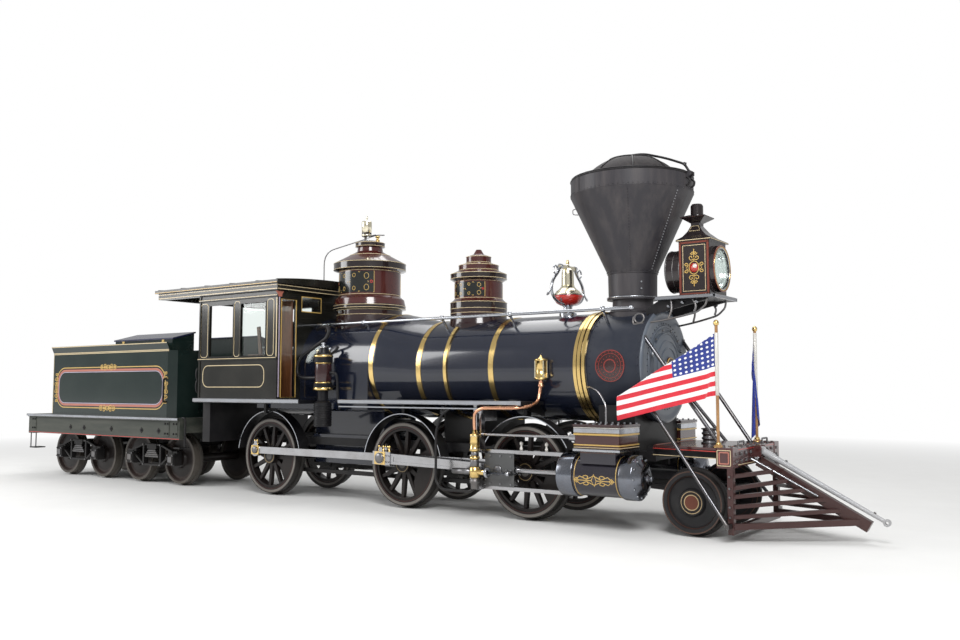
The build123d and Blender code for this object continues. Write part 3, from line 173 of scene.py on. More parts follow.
def make_road_dust():
    """Paint with cloudy dust that grows towards the ground, fine speckle and a soft orange peel."""
    group, given, result = new_group("road_dust", [
        ("Paint", "NodeSocketColor", (0.5, 0.5, 0.5, 1)),
        ("Dust Colour", "NodeSocketColor", (0.30, 0.27, 0.23, 1)), ("Dust", "NodeSocketFloat", 0.2),
        ("Gloss Roughness", "NodeSocketFloat", 0.25), ("Scale", "NodeSocketFloat", 3.0),
        ("Stretch", "NodeSocketVector", (1, 1, 1))],
                                     [("Colour", "NodeSocketColor"), ("Roughness", "NodeSocketFloat"),
                                      ("Height", "NodeSocketFloat")])
    cloud = stretched_noise(group, given.outputs["Scale"], given.outputs["Stretch"], 6.0, 0.62)
    fine = stretched_noise(group, 160.0, (1.0, 1.0, 1.0), 3.0, 0.7)
    low = spread(group, object_axes(group)["Z"], 1.1, 0.0)
    cloudy = spread(group, cloud, 0.42, 0.72)
    grown = math_node(group, "ADD", math_node(group, "MULTIPLY", low, 0.9), cloudy)
    speckled = math_node(group, "MULTIPLY", grown, math_node(group, "ADD", fine, 0.35))
    amount = math_node(group, "MULTIPLY", speckled, given.outputs["Dust"], clamp=True)
    dusty = mix_colour(group, amount, given.outputs["Paint"], given.outputs["Dust Colour"])
    shade = mix_colour(group, 0.18, dusty, cloud, "OVERLAY")
    rough = math_node(group, "ADD", given.outputs["Gloss Roughness"], math_node(group, "MULTIPLY", amount, 0.7))
    rough = math_node(group, "ADD", rough, math_node(group, "MULTIPLY", fine, 0.06), clamp=True)
    group.links.new(shade, result.inputs["Colour"])
    group.links.new(rough, result.inputs["Roughness"])
    group.links.new(math_node(group, "ADD", math_node(group, "MULTIPLY", fine, 0.25), cloud),
                    result.inputs["Height"])
    return group


def make_drawn_metal():
    """Metal with fine drawn lines along one direction and duller, darker patches."""
    group, given, result = new_group("drawn_metal", [
        ("Metal", "NodeSocketColor", (0.6, 0.6, 0.6, 1)),
        ("Tarnish Colour", "NodeSocketColor", (0.25, 0.2, 0.15, 1)), ("Tarnish", "NodeSocketFloat", 0.3),
        ("Polish Roughness", "NodeSocketFloat", 0.2), ("Stretch", "NodeSocketVector", (1, 20, 20))],
                                     [("Colour", "NodeSocketColor"), ("Roughness", "NodeSocketFloat"),
                                      ("Height", "NodeSocketFloat")])
    lines = stretched_noise(group, 18.0, given.outputs["Stretch"], 4.0, 0.6)
    patches = stretched_noise(group, 4.5, (1.0, 1.0, 1.0), 5.0, 0.6)
    amount = math_node(group, "MULTIPLY", spread(group, patches, 0.4, 0.75), given.outputs["Tarnish"],
                       clamp=True)
    colour = mix_colour(group, amount, given.outputs["Metal"], given.outputs["Tarnish Colour"])
    group.links.new(mix_colour(group, 0.25, colour, lines, "OVERLAY"), result.inputs["Colour"])
    rough = math_node(group, "ADD", given.outputs["Polish Roughness"],
                      math_node(group, "MULTIPLY", lines, 0.12))
    rough = math_node(group, "ADD", rough, math_node(group, "MULTIPLY", amount, 0.35), clamp=True)
    group.links.new(rough, result.inputs["Roughness"])
    group.links.new(lines, result.inputs["Height"])
    return group


def make_wheel_radius():
    """Distance from a cross axle, in metres, seen from the side."""
    group, given, result = new_group("distance_from_axle", [
        ("Axle X", "NodeSocketFloat", 0.0), ("Axle Z", "NodeSocketFloat", 0.0)],
                                     [("Radius", "NodeSocketFloat")])
    axes = object_axes(group)
    along = math_node(group, "SUBTRACT", axes["X"], given.outputs["Axle X"])
    above = math_node(group, "SUBTRACT", axes["Z"], given.outputs["Axle Z"])
    squares = math_node(group, "ADD", math_node(group, "MULTIPLY", along, along),
                        math_node(group, "MULTIPLY", above, above))
    group.links.new(math_node(group, "SQRT", squares), result.inputs["Radius"])
    return group


def make_cloth_weave():
    """Plain weave on a piece's UV map, as threads per unit, with slubs."""
    group, given, result = new_group("cloth_weave", [("Threads", "NodeSocketFloat", 300.0)],
                                     [("Height", "NodeSocketFloat"), ("Shade", "NodeSocketFloat")])
    uv, across, down = cloth_axes(group)
    waves = []
    for axis in (across, down):
        turn = math_node(group, "MULTIPLY", axis, given.outputs["Threads"])
        waves.append(math_node(group, "ABSOLUTE", math_node(group, "SINE", turn)))
    weave = math_node(group, "MULTIPLY", waves[0], waves[1])
    noise = group.nodes.new("ShaderNodeTexNoise")
    noise.inputs["Scale"].default_value = 9.0
    noise.inputs["Detail"].default_value = 5.0
    group.links.new(uv, noise.inputs["Vector"])
    group.links.new(weave, result.inputs["Height"])
    group.links.new(math_node(group, "ADD", math_node(group, "MULTIPLY", weave, 0.12), noise.outputs["Fac"]),
                    result.inputs["Shade"])
    return group


ROAD_DUST = make_road_dust()
DRAWN_METAL = make_drawn_metal()
WHEEL_RADIUS = make_wheel_radius()
CLOTH_WEAVE = make_cloth_weave()


# Finishes

def new_finish(name):
    """A material with its Principled shader at hand."""
    material = bpy.data.materials.new(name)
    material.use_nodes = True
    return material, material.node_tree, material.node_tree.nodes["Principled BSDF"]


def add_bump(tree, shader, height, strength, distance):
    """A bump from a height socket."""
    bump = tree.nodes.new("ShaderNodeBump")
    bump.inputs["Strength"].default_value = strength
    bump.inputs["Distance"].default_value = distance
    tree.links.new(height, bump.inputs["Height"])
    tree.links.new(bump.outputs[0], shader.inputs["Normal"])


def zone_colours(tree, value, zones):
    """Steps of colour along a value from 0 to 1; zones are (start, colour)."""
    ramp = tree.nodes.new("ShaderNodeValToRGB")
    ramp.color_ramp.interpolation = "CONSTANT"
    while len(ramp.color_ramp.elements) < len(zones):
        ramp.color_ramp.elements.new(0.5)
    for element, (start, colour) in zip(ramp.color_ramp.elements, zones):
        element.position = start
        element.color = (*colour, 1.0)
    tree.links.new(value, ramp.inputs["Fac"])
    return ramp.outputs["Color"]


def paint(name, colour, rough, dust, coat, scale=2.2, stretch=(1, 1, 1), zones=None, axle=None,
          height_range=None, dust_colour=(0.30, 0.27, 0.23), bump=0.08, shine=0.5):
    """Paint over metal or wood; zones colour it by distance from an axle or by height."""
    material, tree, shader = new_finish(name)
    group = tree.nodes.new("ShaderNodeGroup")
    group.node_tree = ROAD_DUST
    group.inputs["Paint"].default_value = (*colour, 1)
    group.inputs["Dust Colour"].default_value = (*dust_colour, 1)
    group.inputs["Dust"].default_value = dust
    group.inputs["Gloss Roughness"].default_value = rough
    group.inputs["Scale"].default_value = scale
    group.inputs["Stretch"].default_value = stretch
    if axle is not None:
        radius = tree.nodes.new("ShaderNodeGroup")
        radius.node_tree = WHEEL_RADIUS
        radius.inputs["Axle X"].default_value = (axle[0] - MID_X) / 1000
        radius.inputs["Axle Z"].default_value = axle[1] / 1000
        share = math_node(tree, "MULTIPLY", radius.outputs["Radius"], 2.0)
        tree.links.new(zone_colours(tree, share, zones), group.inputs["Paint"])
    elif height_range is not None:
        low, high = height_range
        share = spread(tree, object_axes(tree)["Z"], low / 1000, high / 1000)
        steps = [((start - low) / (high - low), shade) for start, shade in zones]
        tree.links.new(zone_colours(tree, share, steps), group.inputs["Paint"])
    tree.links.new(group.outputs["Colour"], shader.inputs["Base Color"])
    tree.links.new(group.outputs["Roughness"], shader.inputs["Roughness"])
    shader.inputs["Specular IOR Level"].default_value = shine
    shader.inputs["Coat Weight"].default_value = coat
    shader.inputs["Coat Roughness"].default_value = 0.06
    add_bump(tree, shader, group.outputs["Height"], bump, 0.004)
    return material


def metal(name, colour, rough, tarnish, stretch, tarnish_colour=(0.2, 0.16, 0.12), bump=0.03):
    """Bare metal with drawn lines along the direction whose stretch is smallest."""
    material, tree, shader = new_finish(name)
    group = tree.nodes.new("ShaderNodeGroup")
    group.node_tree = DRAWN_METAL
    group.inputs["Metal"].default_value = (*colour, 1)
    group.inputs["Tarnish Colour"].default_value = (*tarnish_colour, 1)
    group.inputs["Tarnish"].default_value = tarnish
    group.inputs["Polish Roughness"].default_value = rough
    group.inputs["Stretch"].default_value = stretch
    tree.links.new(group.outputs["Colour"], shader.inputs["Base Color"])
    tree.links.new(group.outputs["Roughness"], shader.inputs["Roughness"])
    shader.inputs["Metallic"].default_value = 1.0
    add_bump(tree, shader, group.outputs["Height"], bump, 0.002)
    return material


def wood(name, colour, dark, stretch):
    """Varnished wood with its grain along the direction whose stretch is smallest."""
    material, tree, shader = new_finish(name)
    grain = stretched_noise(tree, 9.0, stretch, 8.0, 0.7)
    tree.links.new(mix_colour(tree, spread(tree, grain, 0.35, 0.65), colour, dark), shader.inputs["Base Color"])
    tree.links.new(math_node(tree, "ADD", math_node(tree, "MULTIPLY", grain, 0.2), 0.35),
                   shader.inputs["Roughness"])
    shader.inputs["Coat Weight"].default_value = 0.4
    add_bump(tree, shader, grain, 0.2, 0.002)
    return material


def window_glass(name, tint):
    """Clear glass with faint ripples and dust."""
    material, tree, shader = new_finish(name)
    ripples = stretched_noise(tree, 5.0, (1.0, 1.0, 3.0), 2.0, 0.5)
    shader.inputs["Base Color"].default_value = (*tint, 1)
    tree.links.new(math_node(tree, "MULTIPLY", ripples, 0.06), shader.inputs["Roughness"])
    shader.inputs["Transmission Weight"].default_value = 1.0
    shader.inputs["IOR"].default_value = 1.45
    add_bump(tree, shader, ripples, 0.1, 0.003)
    return material


def flag_cloth(name, plain, stripes):
    """Thin cloth with its weave; stripes adds the bands and the canton with rows of small stars."""
    material, tree, shader = new_finish(name)
    weave = tree.nodes.new("ShaderNodeGroup")
    weave.node_tree = CLOTH_WEAVE
    weave.inputs["Threads"].default_value = 900.0
    colour = plain
    if stripes:
        _, across, down = cloth_axes(tree)
        band = math_node(tree, "MODULO", math_node(tree, "FLOOR", math_node(tree, "MULTIPLY", down, 13.0)), 2.0)
        banded = mix_colour(tree, band, (0.62, 0.012, 0.03), (0.80, 0.80, 0.80))
        in_width = math_node(tree, "LESS_THAN", across, 0.42)
        in_height = math_node(tree, "LESS_THAN", down, 7.0 / 13.0)
        canton = math_node(tree, "MULTIPLY", in_width, in_height)
        row = math_node(tree, "MULTIPLY", down, 13.0)
        column = math_node(tree, "MULTIPLY", across, 8.0 / 0.42)
        from_x = math_node(tree, "SUBTRACT", math_node(tree, "FRACT", column), 0.5)
        from_y = math_node(tree, "SUBTRACT", math_node(tree, "FRACT", row), 0.5)
        squares = math_node(tree, "ADD", math_node(tree, "MULTIPLY", from_x, from_x),
                            math_node(tree, "MULTIPLY", from_y, from_y))
        star = math_node(tree, "LESS_THAN", squares, 0.058)
        field = mix_colour(tree, star, (0.012, 0.03, 0.22), (0.8, 0.8, 0.8))
        colour = mix_colour(tree, canton, banded, field)
    tree.links.new(mix_colour(tree, 0.3, colour, weave.outputs["Shade"], "OVERLAY"),
                   shader.inputs["Base Color"])
    shader.inputs["Roughness"].default_value = 0.62
    shader.inputs["Sheen Weight"].default_value = 0.35
    add_bump(tree, shader, weave.outputs["Height"], 0.25, 0.0006)
    return material


BLACK = (0.012, 0.012, 0.014)
MAROON = (0.062, 0.011, 0.010)

frame_black = paint("frame_black", (0.008, 0.008, 0.010), rough=0.34, dust=0.06, coat=0.05, shine=0.22)
cab_black = paint("cab_black", (0.010, 0.010, 0.008), rough=0.16, dust=0.04, coat=0.2, shine=0.3)
jacket_blue = paint("jacket_blue", (0.006, 0.009, 0.021), rough=0.13, dust=0.03, coat=0.6, scale=1.4)
smoke_grey = paint("smoke_grey", (0.018, 0.022, 0.034), rough=0.42, dust=0.07, coat=0.05, scale=2.0, shine=0.25)
# front_reflection_grey: a lighter, bluer grey than the smokebox sides, used on the smokebox front and door as
# painted reflection of the light on the front
front_reflection_grey = paint("front_reflection_grey", (0.10, 0.12, 0.15), rough=0.3, dust=0.1, coat=0.3)
stack_grey = paint("stack_grey", (0.036, 0.034, 0.039), rough=0.40, dust=0.22, coat=0.05, scale=5.0, shine=0.3,
                   stretch=(1.6, 1.6, 0.18), dust_colour=(0.19, 0.16, 0.145), bump=0.05)
bonnet_black = paint("bonnet_black", (0.010, 0.009, 0.011), rough=0.4, dust=0.06, coat=0.05, shine=0.25)
netting_brown = paint("netting_brown", (0.016, 0.013, 0.015), rough=0.6, dust=0.1, coat=0.0, shine=0.2,
                      scale=30.0, bump=0.3)
# lit_rivet_grey: lighter than the stack's grey, a painted highlight for the main seam's rivets on the stack's
# lit side
lit_rivet_grey = paint("lit_rivet_grey", (0.17, 0.17, 0.18), rough=0.2, dust=0.05, coat=0.6)
plate_grey = paint("plate_grey", (0.052, 0.055, 0.058), rough=0.32, dust=0.1, coat=0.3)
wine = paint("wine", (0.055, 0.010, 0.010), rough=0.14, dust=0.03, coat=0.5)
wine_dark = paint("wine_dark", (0.028, 0.007, 0.008), rough=0.15, dust=0.03, coat=0.5)
cylinder_paint = paint("cylinder_paint", BLACK, rough=0.14, dust=0.03, coat=0.5, height_range=(200, 1000),
                       zones=[(200, (0.012, 0.010, 0.018)), (725, (0.060, 0.024, 0.020)),
                              (770, (0.045, 0.012, 0.011))])
panel_black = paint("panel_black", (0.007, 0.009, 0.008), rough=0.14, dust=0.02, coat=0.4)
lamp_black = paint("lamp_black", (0.014, 0.009, 0.010), rough=0.16, dust=0.03, coat=0.4)
frame_red = paint("frame_red", (0.16, 0.028, 0.014), rough=0.2, dust=0.04, coat=0.6)
signal_red = paint("signal_red", (0.42, 0.02, 0.012), rough=0.2, dust=0.03, coat=0.6)
plate_red = paint("plate_red", (0.22, 0.022, 0.016), rough=0.3, dust=0.05, coat=0.3)
pearl_white = paint("pearl_white", (0.62, 0.60, 0.56), rough=0.25, dust=0.05, coat=0.5)
gold_paint = paint("gold_paint", (0.55, 0.36, 0.10), rough=0.3, dust=0.04, coat=0.3)
cream_paint = paint("cream_paint", (0.62, 0.50, 0.30), rough=0.3, dust=0.04, coat=0.3)
line_pink = paint("line_pink", (0.40, 0.13, 0.09), rough=0.3, dust=0.04, coat=0.4)
line_lavender = paint("line_lavender", (0.46, 0.40, 0.50), rough=0.3, dust=0.04, coat=0.4)
tender_green = paint("tender_green", (0.008, 0.018, 0.016), rough=0.12, dust=0.03, coat=0.25, scale=1.2,
                     shine=0.35)
sill_green = paint("sill_green", (0.034, 0.040, 0.033), rough=0.4, dust=0.12, coat=0.05, scale=4.0, shine=0.3,
                   stretch=(0.3, 1, 2.5))
lid_blue = paint("lid_blue", (0.010, 0.014, 0.05), rough=0.2, dust=0.04, coat=0.4)
pilot_wine = paint("pilot_wine", (0.042, 0.010, 0.010), rough=0.26, dust=0.06, coat=0.2, shine=0.35)
link_grey = paint("link_grey", (0.40, 0.41, 0.43), rough=0.35, dust=0.2, coat=0.3)
rod_steel = metal("rod_steel", (0.44, 0.44, 0.455), rough=0.13, tarnish=0.2, stretch=(0.6, 14, 14))
bright_steel = metal("bright_steel", (0.50, 0.52, 0.56), rough=0.12, tarnish=0.3, stretch=(0.5, 14, 14))
dark_steel = metal("dark_steel", (0.22, 0.22, 0.23), rough=0.30, tarnish=0.5, stretch=(1, 12, 12))
cover_steel = metal("cover_steel", (0.20, 0.215, 0.25), rough=0.1, tarnish=0.25, stretch=(3, 3, 3))
brace_steel = metal("brace_steel", (0.12, 0.12, 0.13), rough=0.2, tarnish=0.3, stretch=(0.5, 14, 14))
brass = metal("brass", (0.83, 0.60, 0.24), rough=0.12, tarnish=0.25, tarnish_colour=(0.38, 0.22, 0.07),
              stretch=(6, 6, 6))
pale_brass = metal("pale_brass", (0.86, 0.80, 0.62), rough=0.1, tarnish=0.2, tarnish_colour=(0.45, 0.32, 0.14),
                   stretch=(2, 2, 14))
copper = metal("copper", (0.80, 0.42, 0.26), rough=0.16, tarnish=0.35, tarnish_colour=(0.32, 0.13, 0.07),
               stretch=(4, 4, 4))
mirror_silver = metal("mirror_silver", (0.86, 0.87, 0.88), rough=0.04, tarnish=0.05, stretch=(2, 2, 2),
                      bump=0.0)
cab_wood = wood("cab_wood", (0.16, 0.062, 0.022), (0.07, 0.024, 0.010), stretch=(8, 8, 0.7))
staff_wood = wood("staff_wood", (0.44, 0.24, 0.09), (0.24, 0.11, 0.035), stretch=(10, 10, 0.6))
clear_glass = window_glass("clear_glass", (0.86, 0.93, 0.90))
flag_striped = flag_cloth("flag_striped", (0.6, 0.0, 0.0), True)
flag_blue = flag_cloth("flag_blue", (0.010, 0.028, 0.28), False)


def wheel_finish(name, axle, zones):
    """Paint in rings round an axle; zones are (radius in mm, colour)."""
    return paint(name, BLACK, rough=0.3, dust=0.025, coat=0.05, axle=axle, shine=0.25,
                 zones=[(radius / 500.0, colour) for radius, colour in zones])


# TYRE_EDGE_HIGHLIGHT: the pale ring on the driving wheels' tyres is a painted highlight along the tyre's edge
TYRE_EDGE_HIGHLIGHT = (0.17, 0.155, 0.14)
SPOKE_DARK = (0.010, 0.007, 0.007)
driver_zones = [(0.0, (0.10, 0.095, 0.09)), (44.0, SPOKE_DARK), (78.0, (0.30, 0.22, 0.11)), (84.0, SPOKE_DARK),
                (401.0, (0.075, 0.014, 0.011)), (406.0, SPOKE_DARK), (418.0, TYRE_EDGE_HIGHLIGHT),
                (446.0, (0.02, 0.018, 0.017))]
pony_zones = [(0.0, (0.12, 0.035, 0.02)), (62.0, (0.45, 0.33, 0.18)), (69.0, SPOKE_DARK),
              (92.0, (0.45, 0.33, 0.18)), (99.0, BLACK), (226.0, (0.050, 0.022, 0.016)), (232.0, BLACK),
              (266.0, (0.10, 0.055, 0.04)), (274.0, (0.02, 0.018, 0.018))]
truck_zones = [(0.0, SPOKE_DARK), (240.0, (0.03, 0.02, 0.018)), (300.0, (0.08, 0.07, 0.06)),
               (334.0, (0.05, 0.045, 0.04))]

steam_dome_paint = paint("steam_dome_paint", MAROON, rough=0.13, dust=0.03, coat=0.6, height_range=(1900, 3500),
                         zones=[(1900, (0.022, 0.007, 0.008)), (2262, (0.012, 0.007, 0.008)), (2330, MAROON),
                                (2440, (0.060, 0.010, 0.009)), (2742, (0.012, 0.007, 0.008)),
                                (2852, (0.060, 0.013, 0.012)), (2960, MAROON), (3055, (0.014, 0.007, 0.008))])
sand_dome_paint = paint("sand_dome_paint", MAROON, rough=0.13, dust=0.03, coat=0.6, height_range=(1900, 3000),
                        zones=[(1900, (0.022, 0.007, 0.008)), (2190, (0.012, 0.007, 0.008)), (2282, MAROON),
                               (2515, (0.012, 0.007, 0.008)), (2606, (0.060, 0.013, 0.012)), (2700, MAROON)])

finishes = {
    "engine_frame": frame_black, "saddle": frame_black, "pony_frame": frame_black, "air_pump": frame_black,
    "headlight_shelf": frame_black, "running_boards": frame_black, "fire_door": frame_black,
    "truck_front_frame": frame_black, "truck_rear_frame": frame_black,
    "boiler": jacket_blue, "smokebox": smoke_grey, "smokebox_door": front_reflection_grey, "stack": stack_grey,
    "stack_bonnet": netting_brown, "steam_dome": steam_dome_paint, "sand_dome": sand_dome_paint,
    "boiler_bands": brass, "bell": pale_brass, "bell_stand": bright_steel, "headlight": lamp_black,
    "headlight_lens": clear_glass, "cab_sides": cab_black, "cab_front": cab_black, "cab_roof": cab_black,
    "cab_door_left": cab_wood, "cab_door_right": cab_wood, "cab_glass": clear_glass, "cab_fittings": cab_wood,
    "pilot_deck": wine, "pilot": pilot_wine, "coupling_bar": link_grey, "braces": brace_steel,
    "flag_staffs": staff_wood, "handrails": bright_steel, "feed_pipes": copper, "cylinders": cylinder_paint,
    "guides": rod_steel, "side_rod_left": rod_steel, "side_rod_right": rod_steel, "main_rod_left": rod_steel,
    "main_rod_right": rod_steel, "crosshead_left": rod_steel, "crosshead_right": rod_steel,
    "tender_frame": sill_green, "tender_tank": tender_green, "tender_top": tender_green,
    "tool_box_lid_left": lid_blue, "tool_box_lid_right": lid_blue, "hatch_lid": tender_green,
}
for name, x in DRIVERS.items():
    finishes[name] = wheel_finish(f"{name}_paint", (x, DRIVER_Z), driver_zones)
finishes["pony_wheelset"] = wheel_finish("pony_wheel_paint", PONY_AXLE, pony_zones)
for truck, truck_x in TRUCKS.items():
    for letter, offset in (("a", TRUCK_AXLE_X), ("b", -TRUCK_AXLE_X)):
        name = f"truck_{truck}_wheelset_{letter}"
        finishes[name] = wheel_finish(f"{name}_paint", (truck_x + offset, TRUCK_AXLE_Z), truck_zones)
for name, finish in finishes.items():
    mesh = nodes[name].data
    if not mesh.materials:
        mesh.materials.append(finish)
    for index in range(len(mesh.materials)):
        mesh.materials[index] = finish


# Mesh tools

def seat(name, mesh, body):
    """Show a finished mesh on its body."""
    piece = bpy.data.objects.new(name, mesh)
    bpy.context.scene.collection.objects.link(piece)
    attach(piece, body)
    return piece


class Piece:
    """Mesh parts gathered into one piece of the engine, each part with its finish."""

    def __init__(self):
        self.points = []
        self.faces = []
        self.face_finish = []
        self.smooth = []
        self.finishes = []

    def add(self, points, faces, finish, smooth=True):
        """Points in the drawing's millimetres and faces that index them."""
        start = len(self.points)
        self.points.extend(place(point) for point in points)
        if finish not in self.finishes:
            self.finishes.append(finish)
        number = self.finishes.index(finish)
        for face in faces:
            self.faces.append([start + index for index in face])
            self.face_finish.append(number)
            self.smooth.append(smooth)

    def block(self, x0, x1, y0, y1, z0, z1, finish, chamfer=0.0):
        """A box with bevelled edges along its longest direction when chamfer is given."""
        low = (min(x0, x1), min(y0, y1), min(z0, z1))
        high = (max(x0, x1), max(y0, y1), max(z0, z1))
        sizes = [high[axis] - low[axis] for axis in range(3)]
        along = sizes.index(max(sizes))
        first, second = [axis for axis in range(3) if axis != along]
        cut = min(chamfer, sizes[first] * 0.45, sizes[second] * 0.45)
        if cut > 0:
            outline = [(low[first] + cut, low[second]), (high[first] - cut, low[second]),
                       (high[first], low[second] + cut), (high[first], high[second] - cut),
                       (high[first] - cut, high[second]), (low[first] + cut, high[second]),
                       (low[first], high[second] - cut), (low[first], low[second] + cut)]
        else:
            outline = [(low[first], low[second]), (high[first], low[second]), (high[first], high[second]),
                       (low[first], high[second])]
        points = []
        for end in (low[along], high[along]):
            for a, b in outline:
                point = [0.0, 0.0, 0.0]
                point[along] = end
                point[first] = a
                point[second] = b
                points.append(tuple(point))
        count = len(outline)
        faces = [[(i + 1) % count, i, i + count, (i + 1) % count + count] for i in range(count)]
        faces.append(list(range(count)))
        faces.append(list(range(2 * count - 1, count - 1, -1)))
        if along != 1:
            faces = [face[::-1] for face in faces]
        self.add(points, [face[::-1] for face in faces], finish, smooth=False)

    def turned(self, centre, axis, profile, finish, steps=40, closed=False):
        """A form turned about an axis through centre; profile is (radius, distance along the axis)."""
        directions = {"x": (Vector((1, 0, 0)), Vector((0, 1, 0)), Vector((0, 0, 1))),
                      "y": (Vector((0, 1, 0)), Vector((0, 0, 1)), Vector((1, 0, 0))),
                      "z": (Vector((0, 0, 1)), Vector((1, 0, 0)), Vector((0, 1, 0)))}
        along, first, second = directions[axis]
        middle = Vector(centre)
        points = []
        for radius, distance in profile:
            for step in range(steps):
                turn = 2 * math.pi * step / steps
                radial = first * math.cos(turn) + second * math.sin(turn)
                points.append(middle + along * distance + radial * max(radius, 0.05))
        rings = len(profile)
        faces = []
        for ring in range(rings if closed else rings - 1):
            after = (ring + 1) % rings
            for step in range(steps):
                beside = (step + 1) % steps
                faces.append([ring * steps + step, ring * steps + beside, after * steps + beside,
                              after * steps + step])
        if not closed:
            faces.append(list(range(steps))[::-1])
            faces.append([(rings - 1) * steps + step for step in range(steps)])
        self.add([tuple(point) for point in points], faces, finish)

    def ring(self, centre, axis, radius, thickness, finish, steps=48, sides=8):
        """A round bar bent into a circle."""
        profile = [(radius + thickness * math.cos(2 * math.pi * s / sides),
                    thickness * math.sin(2 * math.pi * s / sides))
                   for s in range(sides)]
        self.turned(centre, axis, profile, finish, steps=steps, closed=True)

    def stripe(self, path, normals, width, finish, proud=2.0, closed=False):
        """A thin flat strip that lies on a surface along a path."""
        count = len(path)
        points = []
        for index in range(count):
            before = Vector(path[index - 1 if index or closed else 0])
            after = Vector(path[(index + 1) % count if index < count - 1 or closed else index])
            here = Vector(path[index])
            normal = Vector(normals[index]).normalized()
            run = (after - before).normalized()
            side = normal.cross(run).normalized() * (width / 2)
            top = normal * proud
            sunk = normal * -1.0
            points += [here + side + top, here - side + top, here - side + sunk, here + side + sunk]
        faces = []
        for index in range(count if closed else count - 1):
            after = (index + 1) % count
            for corner in range(4):
                beside = (corner + 1) % 4
                faces.append([index * 4 + corner, index * 4 + beside, after * 4 + beside, after * 4 + corner])
        if not closed:
            faces.append([0, 3, 2, 1])
            faces.append([(count - 1) * 4 + corner for corner in range(4)])
        self.add([tuple(point) for point in points], faces, finish, smooth=False)

    def patch(self, surface, u0, u1, v0, v1, finish, proud=1.5, steps=24):
        """A thin panel laid on a surface between two pairs of its coordinates."""
        points = []
        for v in (v0, v1):
            for step in range(steps + 1):
                point, normal = surface(u0 + (u1 - u0) * step / steps, v)
                points.append(tuple(Vector(point) + Vector(normal) * proud))
        faces = [[step, step + 1, steps + 2 + step, steps + 1 + step] for step in range(steps)]
        a, b, c = (Vector(points[i]) for i in (0, 1, steps + 1))
        outward = Vector(surface((u0 + u1) / 2, (v0 + v1) / 2)[1])
        if (b - a).cross(c - a).dot(outward) < 0:
            faces = [face[::-1] for face in faces]
        self.add(points, faces, finish)

    def draw(self, lines, surface, width, finish, proud=2.5):
        """Drawn lines on a surface; each line is a list of (u, v) and may be closed."""
        for line in lines:
            closed = line[0] == line[-1] and len(line) > 3
            spots = [surface(u, v) for u, v in (line[:-1] if closed else line)]
            self.stripe([spot[0] for spot in spots], [spot[1] for spot in spots], width, finish, proud, closed)

    def build(self, name, body):
        """Make the object, hang it on its body and give it its finishes."""
        mesh = bpy.data.meshes.new(name)
        mesh.from_pydata([tuple(point) for point in self.points], [], self.faces)
        for finish in self.finishes:
            mesh.materials.append(finish)
        mesh.polygons.foreach_set("material_index", self.face_finish)
        mesh.polygons.foreach_set("use_smooth", self.smooth)
        mesh.update()
        return seat(name, mesh, body)


def side_surface(y):
    """The flat side of a cab or tank at y, with u forward and v up."""
    return lambda u, v: ((u, y, v), (0, math.copysign(1, y), 0))


def upright_surface(x, y, radius):
    """The side of an upright drum, with u in degrees round it and v up."""
    def spot(u, v):
        turn = math.radians(u)
        normal = (math.cos(turn), math.sin(turn), 0)
        return (x + radius * normal[0], y + radius * normal[1], v), normal
    return spot


def barrel_surface(y, z, radius, sign):
    """The side of a lying drum, with u forward and v in degrees above its middle."""
    def spot(u, v):
        turn = math.radians(v)
        normal = (0, sign * math.cos(turn), math.sin(turn))
        return (u, y + radius * normal[1], z + radius * normal[2]), normal
    return spot


def rounded_frame(u0, u1, v0, v1, radius, steps=8):
    """A closed rectangle with round corners."""
    corners = ((u1 - radius, v1 - radius, 0), (u0 + radius, v1 - radius, 90),
               (u0 + radius, v0 + radius, 180), (u1 - radius, v0 + radius, 270))
    line = []
    for cu, cv, start in corners:
        for step in range(steps + 1):
            turn = math.radians(start + 90 * step / steps)
            line.append((cu + radius * math.cos(turn), cv + radius * math.sin(turn)))
    line.append(line[0])
    return line


def scroll(u, v, radius, start, turns, squash=1.0, steps=22):
    """A spiral line that winds inwards from its radius."""
    line = []
    for step in range(steps + 1):
        share = step / steps
        turn = math.radians(start + 360 * turns * share)
        reach = radius * (1 - 0.78 * share)
        line.append((u + reach * math.cos(turn) * squash, v + reach * math.sin(turn)))
    return line


def side_circle(x, y, z, reach, height, angles):
    """Part of an upright circle or oval at one side of the engine, as a path in the plane of its length."""
    return [(x + reach * math.cos(math.radians(angle)), y, z + height * math.sin(math.radians(angle)))
            for angle in angles]


def oval(u, v, half_width, half_height, steps=24):
    """A closed oval."""
    line = [(u + half_width * math.cos(2 * math.pi * s / steps),
             v + half_height * math.sin(2 * math.pi * s / steps))
            for s in range(steps)]
    return line + [line[0]]


def scroll_cluster(u, v, half_width, half_height):
    """Leafy scrolls mirrored about both middle lines."""
    lines = [oval(u, v, half_width * 0.16, half_height * 0.45)]
    for side in (-1, 1):
        for up in (-1, 1):
            radius = half_height * 0.42
            lines.append(scroll(u + side * half_width * 0.34, v + up * half_height * 0.45, radius,
                                180 if side > 0 else 0, 1.2 * side * up, half_width / half_height * 0.45))
            lines.append(scroll(u + side * half_width * 0.72, v + up * half_height * 0.38, radius * 0.8,
                                0 if side > 0 else 180, -1.2 * side * up, half_width / half_height * 0.45))
        lines.append([(u + side * half_width * 0.5, v), (u + side * half_width, v)])
    return lines


def new_tree(name, inputs):
    """A geometry tree with named inputs; it returns the tree, its input and its output node."""
    tree = bpy.data.node_groups.new(name, "GeometryNodeTree")
    tree.interface.new_socket("Geometry", in_out="INPUT", socket_type="NodeSocketGeometry")
    tree.interface.new_socket("Geometry", in_out="OUTPUT", socket_type="NodeSocketGeometry")
    for socket_name, kind in inputs:
        tree.interface.new_socket(socket_name, in_out="INPUT", socket_type=kind)
    return tree, tree.nodes.new("NodeGroupInput"), tree.nodes.new("NodeGroupOutput")


